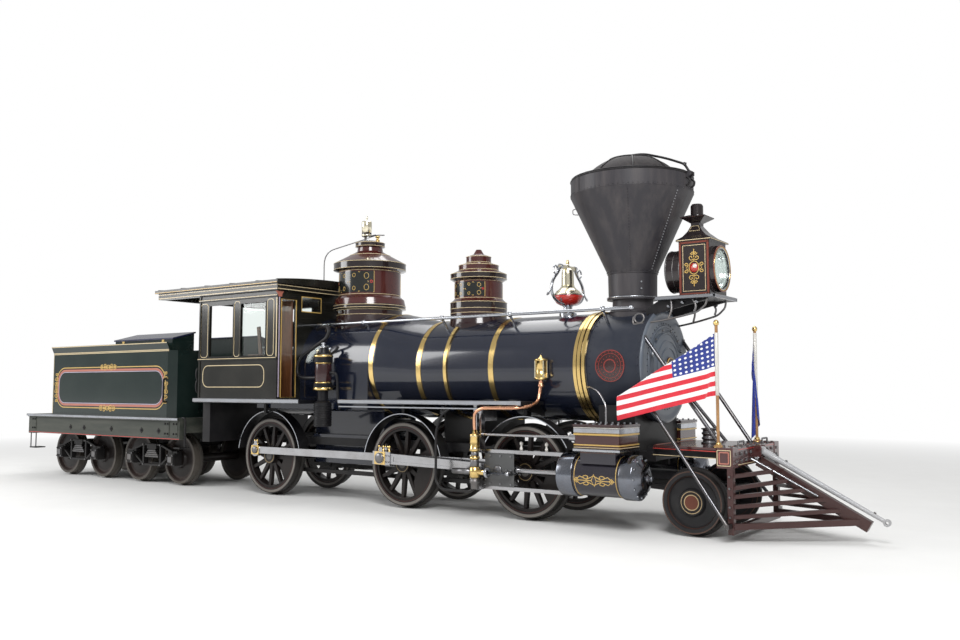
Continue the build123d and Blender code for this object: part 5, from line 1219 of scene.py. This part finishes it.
def dress_rods(side, sign, crank, wrist):
    """Brass boxes, oil cups, keys and bolts on one side's rods and crosshead."""
    turn = math.radians(crank)
    pin_dx = CRANK * math.cos(turn)
    pin_z = DRIVER_Z + CRANK * math.sin(turn)
    boxes = Piece()
    for axle_x in DRIVERS.values():
        x = axle_x + pin_dx
        half = 66.0 if axle_x != MIDDLE_DRIVER_X else 74.0
        outer = sign * (SIDE_ROD_Y + 22)
        boxes.block(x - half, x + half, sign * (SIDE_ROD_Y - 22), outer + sign * 1.0, pin_z - half * 0.9,
                    pin_z + half * 0.9, brass, 5)
        if axle_x != MIDDLE_DRIVER_X:
            cap = 22.0 if axle_x < 0 else 7.0
            boxes.turned((x, outer, pin_z), "y", [(46, 0), (46, sign * cap * 0.55), (36, sign * cap * 0.9),
                                                  (8, sign * cap)][::sign], dark_steel, 28)
        for offset in (-20, 22):
            boxes.turned((x + offset, sign * SIDE_ROD_Y, pin_z + 56), "z",
                         [(13, 0), (13, 24), (9, 26), (9, 44), (14, 48),
                          (14, 62), (6, 70), (3, 84)], brass, 14)
    boxes.build(f"side_rod_boxes_{side}", f"side_rod_{side}")
    big = Vector((MIDDLE_DRIVER_X + pin_dx, sign * CYLINDER_Y, pin_z))
    small = Vector((wrist, sign * CYLINDER_Y, CYLINDER_Z))
    along = (small - big).normalized()
    upward = Vector((-along.z, 0, along.x))
    main = Piece()

    def rod_block(a0, a1, h0, h1, proud, finish):
        """A flat plate on both faces of the main rod between two distances along it."""
        for face in (-1, 1):
            y0 = sign * CYLINDER_Y + face * 24.0
            y1 = sign * CYLINDER_Y + face * (25.0 + proud)
            corners = []
            for y in (y0, y1):
                for a, h in ((a0, h0), (a1, h0), (a1, h1), (a0, h1)):
                    point = big + along * a + upward * h
                    corners.append((point.x, y, point.z))
            faces = [[0, 1, 2, 3], [7, 6, 5, 4], [0, 4, 5, 1], [1, 5, 6, 2], [2, 6, 7, 3], [3, 7, 4, 0]]
            if y1 > y0:
                faces = [f[::-1] for f in faces]
            main.add(corners, [f[::-1] for f in faces], finish, smooth=False)

    rod_block(-76, 76, -70, 70, 4.0, brass)
    rod_block(84, 148, -66, 66, 5.0, rod_steel)
    rod_block(1528, 1636, -46, 46, 4.0, brass)
    main.turned(tuple(big + Vector((0, sign * 37.0, 0))), "y",
                [(56, 0), (56, sign * 6), (44, sign * 14), (8, sign * 15)][::sign], dark_steel, 32)
    for a in (-30, 34, 118):
        base = big + along * a + upward * 70
        main.turned(tuple(base), "z", [(13, -8), (13, 26), (9, 28), (9, 46), (15, 50), (15, 62), (4, 74)],
                    brass, 14)
    main.build(f"main_rod_boxes_{side}", f"main_rod_{side}")
    rod_bolts = []
    for a in (96, 136, 1536, 1628):
        for h in (-34, 34):
            point = big + along * a + upward * h
            rod_bolts.append(((point.x, sign * (CYLINDER_Y + 29), point.z), (0, sign, 0)))
    studs(f"main_rod_bolts_{side}", rod_bolts, 11, 10, 6, 0.9, dark_steel, f"main_rod_{side}")
    head = Piece()
    for z0, z1 in ((352, 402), (618, 668)):
        head.block(wrist - 168, wrist + 168, sign * 652, sign * 760, z0, z1, rod_steel, 6)
    head.block(wrist - 155, wrist + 190, sign * 757, sign * 764, 346, 674, plate_grey, 3)
    head.turned((wrist, sign * 764.0, CYLINDER_Z), "y", [(44, 0), (44, sign * 8), (30, sign * 10)][::sign],
                dark_steel, 28)
    head.build(f"crosshead_plate_{side}", f"crosshead_{side}")
    head_bolts = [((wrist + dx, sign * 764.0, CYLINDER_Z + dz), (0, sign, 0))
                  for dx in (-90, 30, 155) for dz in (-138, 138)]
    head_bolts += [((wrist + dx, sign * 764.0, CYLINDER_Z), (0, sign, 0)) for dx in (100, 160)]
    studs(f"crosshead_bolts_{side}", head_bolts, 12, 9, 6, 0.9, dark_steel, f"crosshead_{side}")
    cups = Piece()
    for x in (40.0, 330.0):
        cups.turned((x, sign * CYLINDER_Y, 708), "z",
                    [(16, 0), (16, 26), (10, 30), (10, 52), (17, 56), (17, 76), (4, 88)], pearl_white, 14)
    cups.build(f"guide_cups_{side}", "engine")


dress_rods("right", -1, 160.0, -197.35)
dress_rods("left", 1, 250.0, -90.2)

cylinders = Piece()
for sign in (-1, 1):
    middle = (0, sign * CYLINDER_Y, CYLINDER_Z)
    cylinders.turned(middle, "x", [(150, 534), (204, 548), (206, 556), (206, 702), (204, 710), (192, 712)],
                     cover_steel, 56)
    cylinders.turned(middle, "x", [(192, 1190), (204, 1192), (206, 1200), (206, 1312), (204, 1320), (170, 1332),
                                   (130, 1376), (62, 1390), (32, 1390), (30, 1400), (18, 1404), (18, 1420),
                                   (26, 1428), (14, 1440), (2, 1442)], cover_steel, 56)
    for x in (738.0, 1164.0):
        cylinders.ring((x, sign * CYLINDER_Y, CYLINDER_Z), "x", 190, 4, gold_paint)
    skin = barrel_surface(sign * CYLINDER_Y, CYLINDER_Z, 190.0, sign)
    art = [[(-26, 0), (0, 17), (26, 0), (0, -17), (-26, 0)]]
    for way in (-1, 1):
        art.append([(way * 24, 0), (way * 210, 0)])
        art.append([(way * 156, 0), (way * 180, 7), (way * 206, 0), (way * 180, -7), (way * 156, 0)])
        for up in (-1, 1):
            art.append([(0, up * 13), (way * 72, up * 3), (way * 144, up * 11), (way * 192, 0)])
            art.append([(way * (84 + 26 * math.cos(math.radians(a))),
                         up * (9 + 4.4 * math.sin(math.radians(a))))
                        for a in range(-60, 241, 30)])
    cylinders.draw([[(942 + u, v - 9) for u, v in line] for line in art], skin, 7, gold_paint, proud=3)
    for z0, z1, out, finish in ((966, 990, 10, wine_dark), (956, 963, 5, pearl_white),
                                (910, 955, 4, bright_steel), (890, 906, 5, gold_paint),
                                (796, 808, 4, gold_paint), (776, 782, 3, cream_paint),
                                (742, 766, 10, bright_steel)):
        cylinders.block(750 - out, 1210 + out, sign * (494 - out), sign * (902 + out), z0, z1, finish, 4)
cylinders.build("cylinder_covers", "engine")
chest_nuts = []
for sign in (-1, 1):
    chest_nuts += [((x, sign * y, 990), (0, 0, 1)) for x in range(760, 1216, 62) for y in (505, 890)]
    for index in range(12):
        turn = 2 * math.pi * index / 12
        chest_nuts.append(((1328, sign * CYLINDER_Y + 178 * math.cos(turn), CYLINDER_Z + 178 * math.sin(turn)),
                           (1, 0, 0)))
studs("chest_nuts", chest_nuts, 11, 11, 6, 0.9, bright_steel, "engine")
bars("cylinder_pipes", [[(690, sign * 545, 1325), (760, sign * 585, 1330), (880, sign * 650, 1285),
                         (972, sign * 690, 1170), (977, sign * 700, 1060), (977, sign * 705, 988)]
                        for sign in (-1, 1)],
     9, rod_steel, "engine", "rod_steel", sides=8)

# Feed pump, check valve and the copper pipe on the right side

feed = Piece()
for profile, finish in (
        ([(36, 316), (40, 322), (40, 372), (50, 380), (50, 402), (42, 408), (42, 432)], dark_steel),
        ([(44, 430), (52, 434), (52, 534), (44, 538)], brass),
        ([(38, 536), (44, 544), (44, 600), (38, 614)], dark_steel),
        ([(46, 612), (52, 616), (52, 636), (46, 640)], brass),
        ([(38, 638), (38, 692)], dark_steel),
        ([(44, 690), (53, 696), (53, 716), (49, 722), (49, 838), (53, 844), (53, 860), (30, 868), (26, 905)],
         brass)):
    feed.turned((PUMP_X, PUMP_Y, 0), "z", profile, finish, 28)
for profile, finish in (([(17, -690), (30, -690), (30, -452), (17, -452)], dark_steel),
                        ([(17, -452), (26, -452), (26, -284), (17, -284)], brass),
                        ([(17, -284), (48, -284), (50, -278), (50, -262), (46, -256), (17, -256)],
                         bright_steel)):
    feed.turned((0, PUMP_Y, PLUNGER_Z), "x", profile, finish, 24, closed=True)
feed.turned(CHECK_VALVE, "z", [(62, 1404), (68, 1412), (68, 1424), (56, 1430), (56, 1588), (70, 1594),
                               (70, 1608), (40, 1616), (12, 1636), (4, 1652)], brass, 8)
for corner in (-1, 1):
    for beside in (-1, 1):
        x = CHECK_VALVE[0] + corner * 48
        y = CHECK_VALVE[1] + beside * 34
        feed.block(x - 7, x + 7, y - 7, y + 7, 1424, 1592, pale_brass, 3)
feed.turned(CHECK_VALVE, "z", [(24, 1330), (32, 1336), (32, 1352), (24, 1358), (24, 1400), (34, 1406)], copper,
            20)
for z in (716, 844):
    feed.ring((PUMP_X, PUMP_Y, z), "z", 51, 4, pale_brass, steps=28)
feed.build("feed_pump", "engine")
pipe = bars("feed_pipe", [[(210, -600, 1410), (204, -604, 1290), (200, -640, 1190), (180, -760, 1142),
                           (90, -890, 1128), (-300, -900, 1124), (-392, -890, 1080), (-418, -862, 990),
                           (-420, -850, 890)]],
            17, copper, "engine", "copper", sides=16)
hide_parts("feed_pipes")
bars("feed_hose", [[(-740, -850, 1112), (-840, -850, 1050), (-914, -850, 888), (-915, -850, 375),
                    (-860, -850, 300), (-755, -850, 284), (-480, -850, 286), (-422, -850, 322)]], 14,
     frame_black, "engine", "frame_black")
plunger = Piece()
plunger.turned((0, PUMP_Y, PLUNGER_Z), "x", [(13, -650), (14, -646), (14, -42), (22, -40), (22, -8), (14, -6)],
               bright_steel, 20)
plunger.block(-42, -10, -862, -752, 464, 508, dark_steel, 6)
plunger.build("feed_plunger", "crosshead_right")

# Air pump dressing

pump = Piece()
for z0, z1, reach in ((1296, 1330, 114), (1372, 1392, 104), (1600, 1622, 104), (1676, 1704, 114)):
    pump.turned(AIR_PUMP, "z", [(reach - 8, z0), (reach, z0 + 6), (reach, z1 - 6), (reach - 8, z1)], brass, 32)
pump.turned(AIR_PUMP, "z", [(94, 1392), (96, 1400), (96, 1592), (94, 1600)], wine_dark, 32)
for step in range(9):
    z = 902 + 27 * step
    pump.ring((AIR_PUMP[0], AIR_PUMP[1], z), "z", 101, 7, frame_black, steps=32)
pump.turned(AIR_PUMP, "z", [(44, 1786), (50, 1796), (26, 1804), (20, 1830), (30, 1838), (10, 1850), (2, 1852)],
            bright_steel, 20)
pump.turned((-2580, -730, 0), "z", [(14, 1700), (14, 1760), (22, 1768), (22, 1784), (4, 1792)], bright_steel,
            14)
pump.turned((-2710, -790, 0), "z", [(14, 1690), (14, 1740), (20, 1748), (20, 1762), (4, 1770)], pale_brass, 14)
pump.build("air_pump_bands", "engine")

# Deck, pilot and coupling bar

deck = Piece()
for sign in (-1, 1):
    deck.block(2006, 2156, sign * 500, sign * 652, 632, 808, wine, 12)
    end = side_surface(sign * 652.0)
    deck.draw([rounded_frame(2022, 2140, 654, 786, 6, 2)], end, 6, cream_paint)
    deck.draw([rounded_frame(2040, 2122, 672, 768, 6, 2)], end, 10, line_pink)
    for z, inner, outer, width, finish in ((770, 470, 606, 8, signal_red), (712, 484, 618, 6, cream_paint)):
        deck.stripe([(1345, sign * inner, z), (2000, sign * outer, z)], [(-0.2, sign, 0)] * 2, width, finish,
                    proud=4)
for x, y, z, normal, finish in ((2150, 640, 786, (1, 0, 0), signal_red),
                                (2150, 640, 656, (1, 0, 0), cream_paint),
                                (2030, 600, 801, (0, 0, 1), line_pink), (1360, 440, 801, (0, 0, 1), line_pink)):
    deck.stripe([(x, -y, z), (x, y, z)], [normal] * 2, 7, finish, proud=3)
deck.turned((1700, 0, 0), "z", [(74, 800), (74, 812), (58, 816), (58, 836), (68, 842), (68, 858), (58, 862),
                                (58, 882), (68, 888), (68, 904), (58, 908), (58, 930), (72, 934), (72, 944),
                                (20, 950)],
            dark_steel, 28)
deck.build("deck_lines", "engine")
deck_bolts = [((x, y, 802), (0, 0, 1)) for y in range(-560, 561, 140) for x in (2050, 2115)]
deck_bolts += [((2152, y, z), (1, 0, 0)) for y in (-560, -430, -300, -180, 180, 300, 430, 560)
               for z in (690, 752)]
studs("deck_bolts", deck_bolts, 15, 12, 6, 0.85, dark_steel, "engine")
bars("deck_grabs", [[(2120, y0, 812), (2120, y0, 850), (2120, y1, 850), (2120, y1, 812)]
                    for y0, y1 in ((-400, -250), (250, 400))], 9, dark_steel, "engine", "rod_steel")
bar_bolts = [((2195 + 1051 * share + 0.475 * reach, 0, 757 - 567 * share + 0.88 * reach), (0.475, 0, 0.88))
             for share, reach in ((0.12, 30), (0.2, 25.5), (0.9, 17.5))]
studs("coupling_bolts", bar_bolts, 12, 10, 6, 0.9, dark_steel, "coupling_bar")
link = Piece()
for side in (-1, 1):
    link.turned((3246, 0, 190), "y",
                [(15.5, side * 19.5), (26, side * 19.5), (26, side * 24), (15.5, side * 24)][::side],
                link_grey, 28, closed=True)
link.build("coupling_eyes", "coupling_bar")
bars("pilot_stays", [[(2160, -180, 690), (2700, -52, 380)], [(2160, 180, 690), (2700, 52, 380)]], 9,
     bright_steel, "engine", "rod_steel")
studs("pilot_bolts", [((2126, sign * 652, z), (0, sign, 0)) for sign in (-1, 1)
                      for z in (563, 462, 389, 304, 218)],
      11, 9, 6, 0.85, dark_steel, "engine")

# Flag staffs and flags

staffs = Piece()
for sign in (-1, 1):
    staff = (STAFF_X, sign * STAFF_Y, 0)
    staffs.turned(staff, "z", [(48, 800), (48, 808), (30, 816), (24, 840), (18, 848)], brass, 24)
    foot, top = (1258, 1815) if sign < 0 else (1222, 1862)
    staffs.turned(staff, "z", [(14, foot), (17, foot + 3), (17, top - 3), (14, top)], pearl_white, 20)
    staffs.turned(staff, "z", [(13, 1876), (22, 1884), (26, 1902), (20, 1920), (6, 1930)], brass, 20)
staffs.build("staff_ends", "engine")


FLAG_HOIST = 557.0
FLAG_PLEAT = 110.0


def hang_flag(name, sign, wind, shape_point, finish, columns, rows, frames):
    """A sheet of cloth held along its hoist; the wind and its weight fold it in a simulation.

    wind is (direction, strength, share of gravity).
    """
    points = [place(shape_point(column / columns, row / rows)) for row in range(rows + 1)
              for column in range(columns + 1)]
    faces = []
    for row in range(rows):
        for column in range(columns):
            first = row * (columns + 1) + column
            faces.append([first, first + columns + 1, first + columns + 2, first + 1])
    mesh = bpy.data.meshes.new(name)
    mesh.from_pydata([tuple(point) for point in points], [], faces)
    uv = mesh.uv_layers.new(name="cloth")
    for loop in mesh.loops:
        row, column = divmod(loop.vertex_index, columns + 1)
        uv.data[loop.index].uv = (column / columns, row / rows)
    mesh.polygons.foreach_set("use_smooth", [True] * len(faces))
    mesh.materials.append(finish)
    flag = bpy.data.objects.new(name, mesh)
    bpy.context.scene.collection.objects.link(flag)
    hoist = flag.vertex_groups.new(name="hoist")
    hoist.add([row * (columns + 1) for row in range(rows + 1)], 1.0, "REPLACE")
    blower = bpy.data.objects.new(f"{name}_wind", None)
    blower.location = place((2000, sign * STAFF_Y, 1500))
    blower.rotation_euler = Vector(wind[0]).to_track_quat("Z", "Y").to_euler()
    bpy.context.scene.collection.objects.link(blower)
    bpy.context.view_layer.objects.active = blower
    with bpy.context.temp_override(object=blower, active_object=blower, selected_objects=[blower]):
        bpy.ops.object.forcefield_toggle()
    blower.field.type = "WIND"
    blower.field.strength = wind[1]
    blower.field.flow = 0.6
    blower.field.seed = 4
    cloth = flag.modifiers.new("cloth", "CLOTH")
    cloth.settings.quality = 8
    cloth.settings.mass = 0.12
    cloth.settings.air_damping = 1.2
    cloth.settings.tension_stiffness = 22
    cloth.settings.compression_stiffness = 22
    cloth.settings.shear_stiffness = 6
    cloth.settings.bending_stiffness = 0.25
    cloth.settings.effector_weights.gravity = wind[2]
    cloth.settings.vertex_group_mass = "hoist"
    cloth.point_cache.frame_start = 1
    cloth.point_cache.frame_end = frames
    for step in range(1, frames + 1):
        bpy.context.scene.frame_set(step)
    depsgraph = bpy.context.evaluated_depsgraph_get()
    settled = bpy.data.meshes.new_from_object(flag.evaluated_get(depsgraph))
    flag.modifiers.clear()
    flag.data = settled
    bpy.context.scene.frame_set(1)
    bpy.data.objects.remove(blower)
    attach(flag, "engine")
    return flag


def right_flag_point(across, down):
    """The right flag as it starts: out from the staff, its upper fly corner down in pleats behind the rest."""
    crease = 0.6 * across
    top = 1815 - 491 * across ** 0.95
    foot = 1258 - 166 * across
    ripple = across * (16 * math.sin(down * 6.0 + across * 5.0) + 24 * math.sin(across * 9.0))
    if down >= crease:
        height = top + (foot - top) * (down - crease) / (1 - crease)
        behind = 0.0
    else:
        length = (crease - down) * FLAG_HOIST
        part = length % (2 * FLAG_PLEAT)
        height = top - min(part, 2 * FLAG_PLEAT - part)
        behind = 12.0 + 0.18 * length
    return (STAFF_X - 14 - 935 * across, -STAFF_Y - 170 * across + ripple + behind, height)


def left_flag_point(across, down):
    """The left flag as it starts: limp folds close to its staff."""
    fold = math.sin(across * 15.0)
    return (STAFF_X - 14 - 190 * across - 18 * down, STAFF_Y + 42 * fold * (0.35 + 0.65 * down),
            1862 - 640 * down - 370 * across)


for name, sign, wind, shape_point, finish, columns, rows, frames, replaced in (
        ("striped_flag", -1, ((-1, -0.16, -0.12), 120.0, 0.3), right_flag_point, flag_striped, 66, 78, 10,
         "flag_right"),
        ("plain_flag", 1, ((-1, 0.1, 0.0), 10.0, 1.0), left_flag_point, flag_blue, 60, 36, 20, "flag_left")):
    flag = hang_flag(name, sign, wind, shape_point, finish, columns, rows, frames)
    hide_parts(replaced)

# Tender

SILL_PLATES = (-7570.0, -7223.0, -6552.0, -5852.0, -5478.0)
tender = Piece()
for sign in (-1, 1):
    tank = side_surface(sign * TANK_SIDE_Y)
    tender.draw([rounded_frame(-7976, -5356, 1040, 1612, 210, 10)], tank, 13, gold_paint)
    tender.draw([rounded_frame(-7936, -5396, 1080, 1572, 175, 10)], tank, 30, line_pink, proud=2)
    tender.draw([rounded_frame(-7912, -5420, 1104, 1548, 152, 10)], tank, 9, line_lavender)
    for z in (1040.0, 1612.0):
        tender.draw(scroll_cluster(-6666, z, 215, 62), tank, 9, gold_paint, proud=4)
    for x in (-7976.0, -5356.0):
        for up in (-1, 1):
            for way in (-1, 1):
                tender.draw([scroll(x + way * 26, 1326 + up * 58, 34, 180 if way > 0 else 0, 1.2 * way * up),
                             scroll(x + way * 20, 1326 + up * 130, 30, 0 if way > 0 else 180, -1.2 * way * up),
                             scroll(x + way * 14, 1326 + up * 196, 24, 180 if way > 0 else 0, 1.1 * way * up)],
                            tank, 8, gold_paint, proud=4)
        tender.draw([oval(x, 1326, 30, 44)], tank, 9, gold_paint, proud=4)
    tender.draw([[(-8068, 950), (-8068, 1812), (-5300, 1812)]], tank, 9, cream_paint)
    lean = math.hypot(45, 105)
    coping_normal = (0, sign * 105 / lean, -45 / lean)
    for share, height in ((0.06, 1828), (0.92, 1918)):
        y = sign * (TANK_SIDE_Y + 45 * (height - 1820) / 105 + 1)
        tender.stripe([(-8074, y, height), (-5296, y, height)], [coping_normal] * 2, 11, cream_paint, proud=3)
    tender.block(-8724, -5036, sign * 974, sign * 990, 900, 934, bright_steel, 6)
    sill = side_surface(sign * TANK_SIDE_Y)
    tender.draw([[(-8700, 660), (-5044, 660)]], sill, 8, signal_red)
    for x in SILL_PLATES:
        tender.draw([[(x - 24, 757), (x, 733), (x + 24, 757), (x, 781), (x - 24, 757)]], sill, 26, frame_black,
                    proud=7)
    for x in (-8560, -5300, -5120):
        tender.block(x - 50, x + 50, sign * 949, sign * 958, 690, 890, sill_green, 3)
tender.build("tender_lines", "tender")
sill_bolts = []
for sign in (-1, 1):
    for x in (-8560, -5300, -5120):
        for dx in (-28, 28):
            for z in (725, 855):
                sill_bolts.append(((x + dx, sign * 958, z), (0, sign, 0)))
    sill_bolts += [((x, sign * 954, 757), (0, sign, 0)) for x in SILL_PLATES]
studs("sill_bolts", sill_bolts, 14, 12, 4, 0.85, frame_black, "tender")
tank_rivets = []
for sign in (-1, 1):
    for x in range(-8050, -5310, 60):
        tank_rivets.append(((x, sign * TANK_SIDE_Y, 958), (0, sign, 0)))
    for z in range(990, 1800, 60):
        tank_rivets.append(((-8046, sign * TANK_SIDE_Y, z), (0, sign, 0)))
for y in range(-920, 921, 60):
    for z in (958, 1800):
        tank_rivets.append(((-8080, y, z), (-1, 0, 0)))
studs("tank_rivets", tank_rivets, 6, 4, 6, 0.6, tender_green, "tender")
bars("tender_grabs", [[(-5322, sign * 952, 1140), (-5322, sign * 1006, 1140), (-5322, sign * 1006, 1440),
                       (-5322, sign * 952, 1440)] for sign in (-1, 1)]
     + [[(-8082, sign * 700, 1150), (-8140, sign * 700, 1150), (-8140, sign * 700, 1500),
         (-8082, sign * 700, 1500)]
        for sign in (-1, 1)]
     + [[(-5060, sign * 900, 930), (-5000, sign * 900, 930), (-4990, sign * 900, 880), (-4990, sign * 900, 560)]
        for sign in (-1, 1)], 13, frame_black, "tender", "frame_black")
steps = Piece()
for sign in (-1, 1):
    steps.block(-5110, -4985, sign * 830, sign * 985, 540, 556, frame_black, 4)
    steps.block(-8660, -8500, sign * 800, sign * 960, 420, 436, frame_black, 4)
    for x in (-8650, -8510):
        steps.block(x - 8, x + 8, sign * 940, sign * 952, 430, 660, frame_black, 3)
steps.build("tender_steps", "tender")
boxes = Piece()
for sign in (-1, 1):
    for x in (-6400, -5500):
        boxes.block(x - 26, x + 26, sign * 898, sign * 906, 1880, 1970, brass, 3)
boxes.build("tool_box_straps", "tender")

for truck, truck_x in TRUCKS.items():
    dress = Piece()
    nuts = []
    for sign in (-1, 1):
        for end in (-1, 1):
            x = truck_x + end * TRUCK_AXLE_X
            dress.block(x - 66, x + 66, sign * 684, sign * 694, 290, 430, frame_black, 8)
            dress.block(x - 40, x + 40, sign * 694, sign * 704, 320, 400, dark_steel, 8)
            nuts += [((x + dx, sign * 694, TRUCK_AXLE_Z + dz), (0, sign, 0)) for dx in (-54, 54)
                     for dz in (-58, 58)]
            nuts += [((truck_x + end * 190, sign * 660, z), (0, sign, 0)) for z in (270, 540)]
        for level in range(4):
            reach = 150 - 20 * level
            dress.block(truck_x - reach, truck_x + reach, sign * 592, sign * 664, 372 + 26 * level,
                        392 + 26 * level, dark_steel, 5)
    dress.build(f"truck_{truck}_dress", f"truck_{truck}")
    studs(f"truck_{truck}_nuts", nuts, 13, 12, 6, 0.9, dark_steel, f"truck_{truck}")

# Floor, world and lights

def stage_floor():
    """A pale floor that turns white with distance, so that no horizon shows."""
    mesh = bpy.data.meshes.new("floor")
    mesh.from_pydata([(-90, -90, 0), (90, -90, 0), (90, 90, 0), (-90, 90, 0)], [], [[0, 1, 2, 3]])
    material, tree, shader = new_finish("floor_pale")
    noise = stretched_noise(tree, 2.0, (1.0, 1.0, 1.0), 4.0, 0.6)
    coordinates = tree.nodes.new("ShaderNodeTexCoord")
    reach = tree.nodes.new("ShaderNodeVectorMath")
    reach.operation = "LENGTH"
    tree.links.new(coordinates.outputs["Object"], reach.inputs[0])
    far = spread(tree, reach.outputs["Value"], 7.5, 17.0)
    pale = mix_colour(tree, noise, (0.78, 0.78, 0.77), (0.84, 0.84, 0.83))
    tree.links.new(mix_colour(tree, far, pale, (0.0, 0.0, 0.0)), shader.inputs["Base Color"])
    tree.links.new(mix_colour(tree, far, (0.0, 0.0, 0.0), (1.0, 1.0, 1.0)), shader.inputs["Emission Color"])
    shader.inputs["Emission Strength"].default_value = 1.0
    shader.inputs["Specular IOR Level"].default_value = 0.0
    shader.inputs["Roughness"].default_value = 0.9
    mesh.materials.append(material)
    floor = bpy.data.objects.new("floor", mesh)
    bpy.context.scene.collection.objects.link(floor)


stage_floor()
world = bpy.data.worlds.new("studio")
bpy.context.scene.world = world
world.use_nodes = True
world_tree = world.node_tree
background = world_tree.nodes["Background"]
rays = world_tree.nodes.new("ShaderNodeLightPath")
seen = math_node(world_tree, "MAXIMUM", rays.outputs["Is Camera Ray"],
                 math_node(world_tree, "MAXIMUM",
                           math_node(world_tree, "MULTIPLY", rays.outputs["Is Glossy Ray"], 0.35),
                           rays.outputs["Is Transmission Ray"]))
background.inputs["Color"].default_value = (1, 1, 1, 1)
world_tree.links.new(math_node(world_tree, "MAXIMUM", seen, 0.48), background.inputs["Strength"])

for name, spot, aim, size, power in (
        ("key_light", (9.0, -9.0, 9.0), (0.0, 0.0, 1.2), 5.0, 1200.0),
        ("side_light", (-9.0, -8.0, 6.0), (-2.0, 0.0, 1.2), 6.0, 700.0),
        ("top_light", (0.0, 3.0, 11.0), (0.0, 0.0, 1.5), 8.0, 600.0)):
    light_data = bpy.data.lights.new(name, "AREA")
    light_data.size = size
    light_data.energy = power
    light = bpy.data.objects.new(name, light_data)
    light.location = spot
    light.rotation_euler = (Vector(spot) - Vector(aim)).to_track_quat("Z", "Y").to_euler()
    bpy.context.scene.collection.objects.link(light)
bpy.context.scene.view_settings.view_transform = "Standard"
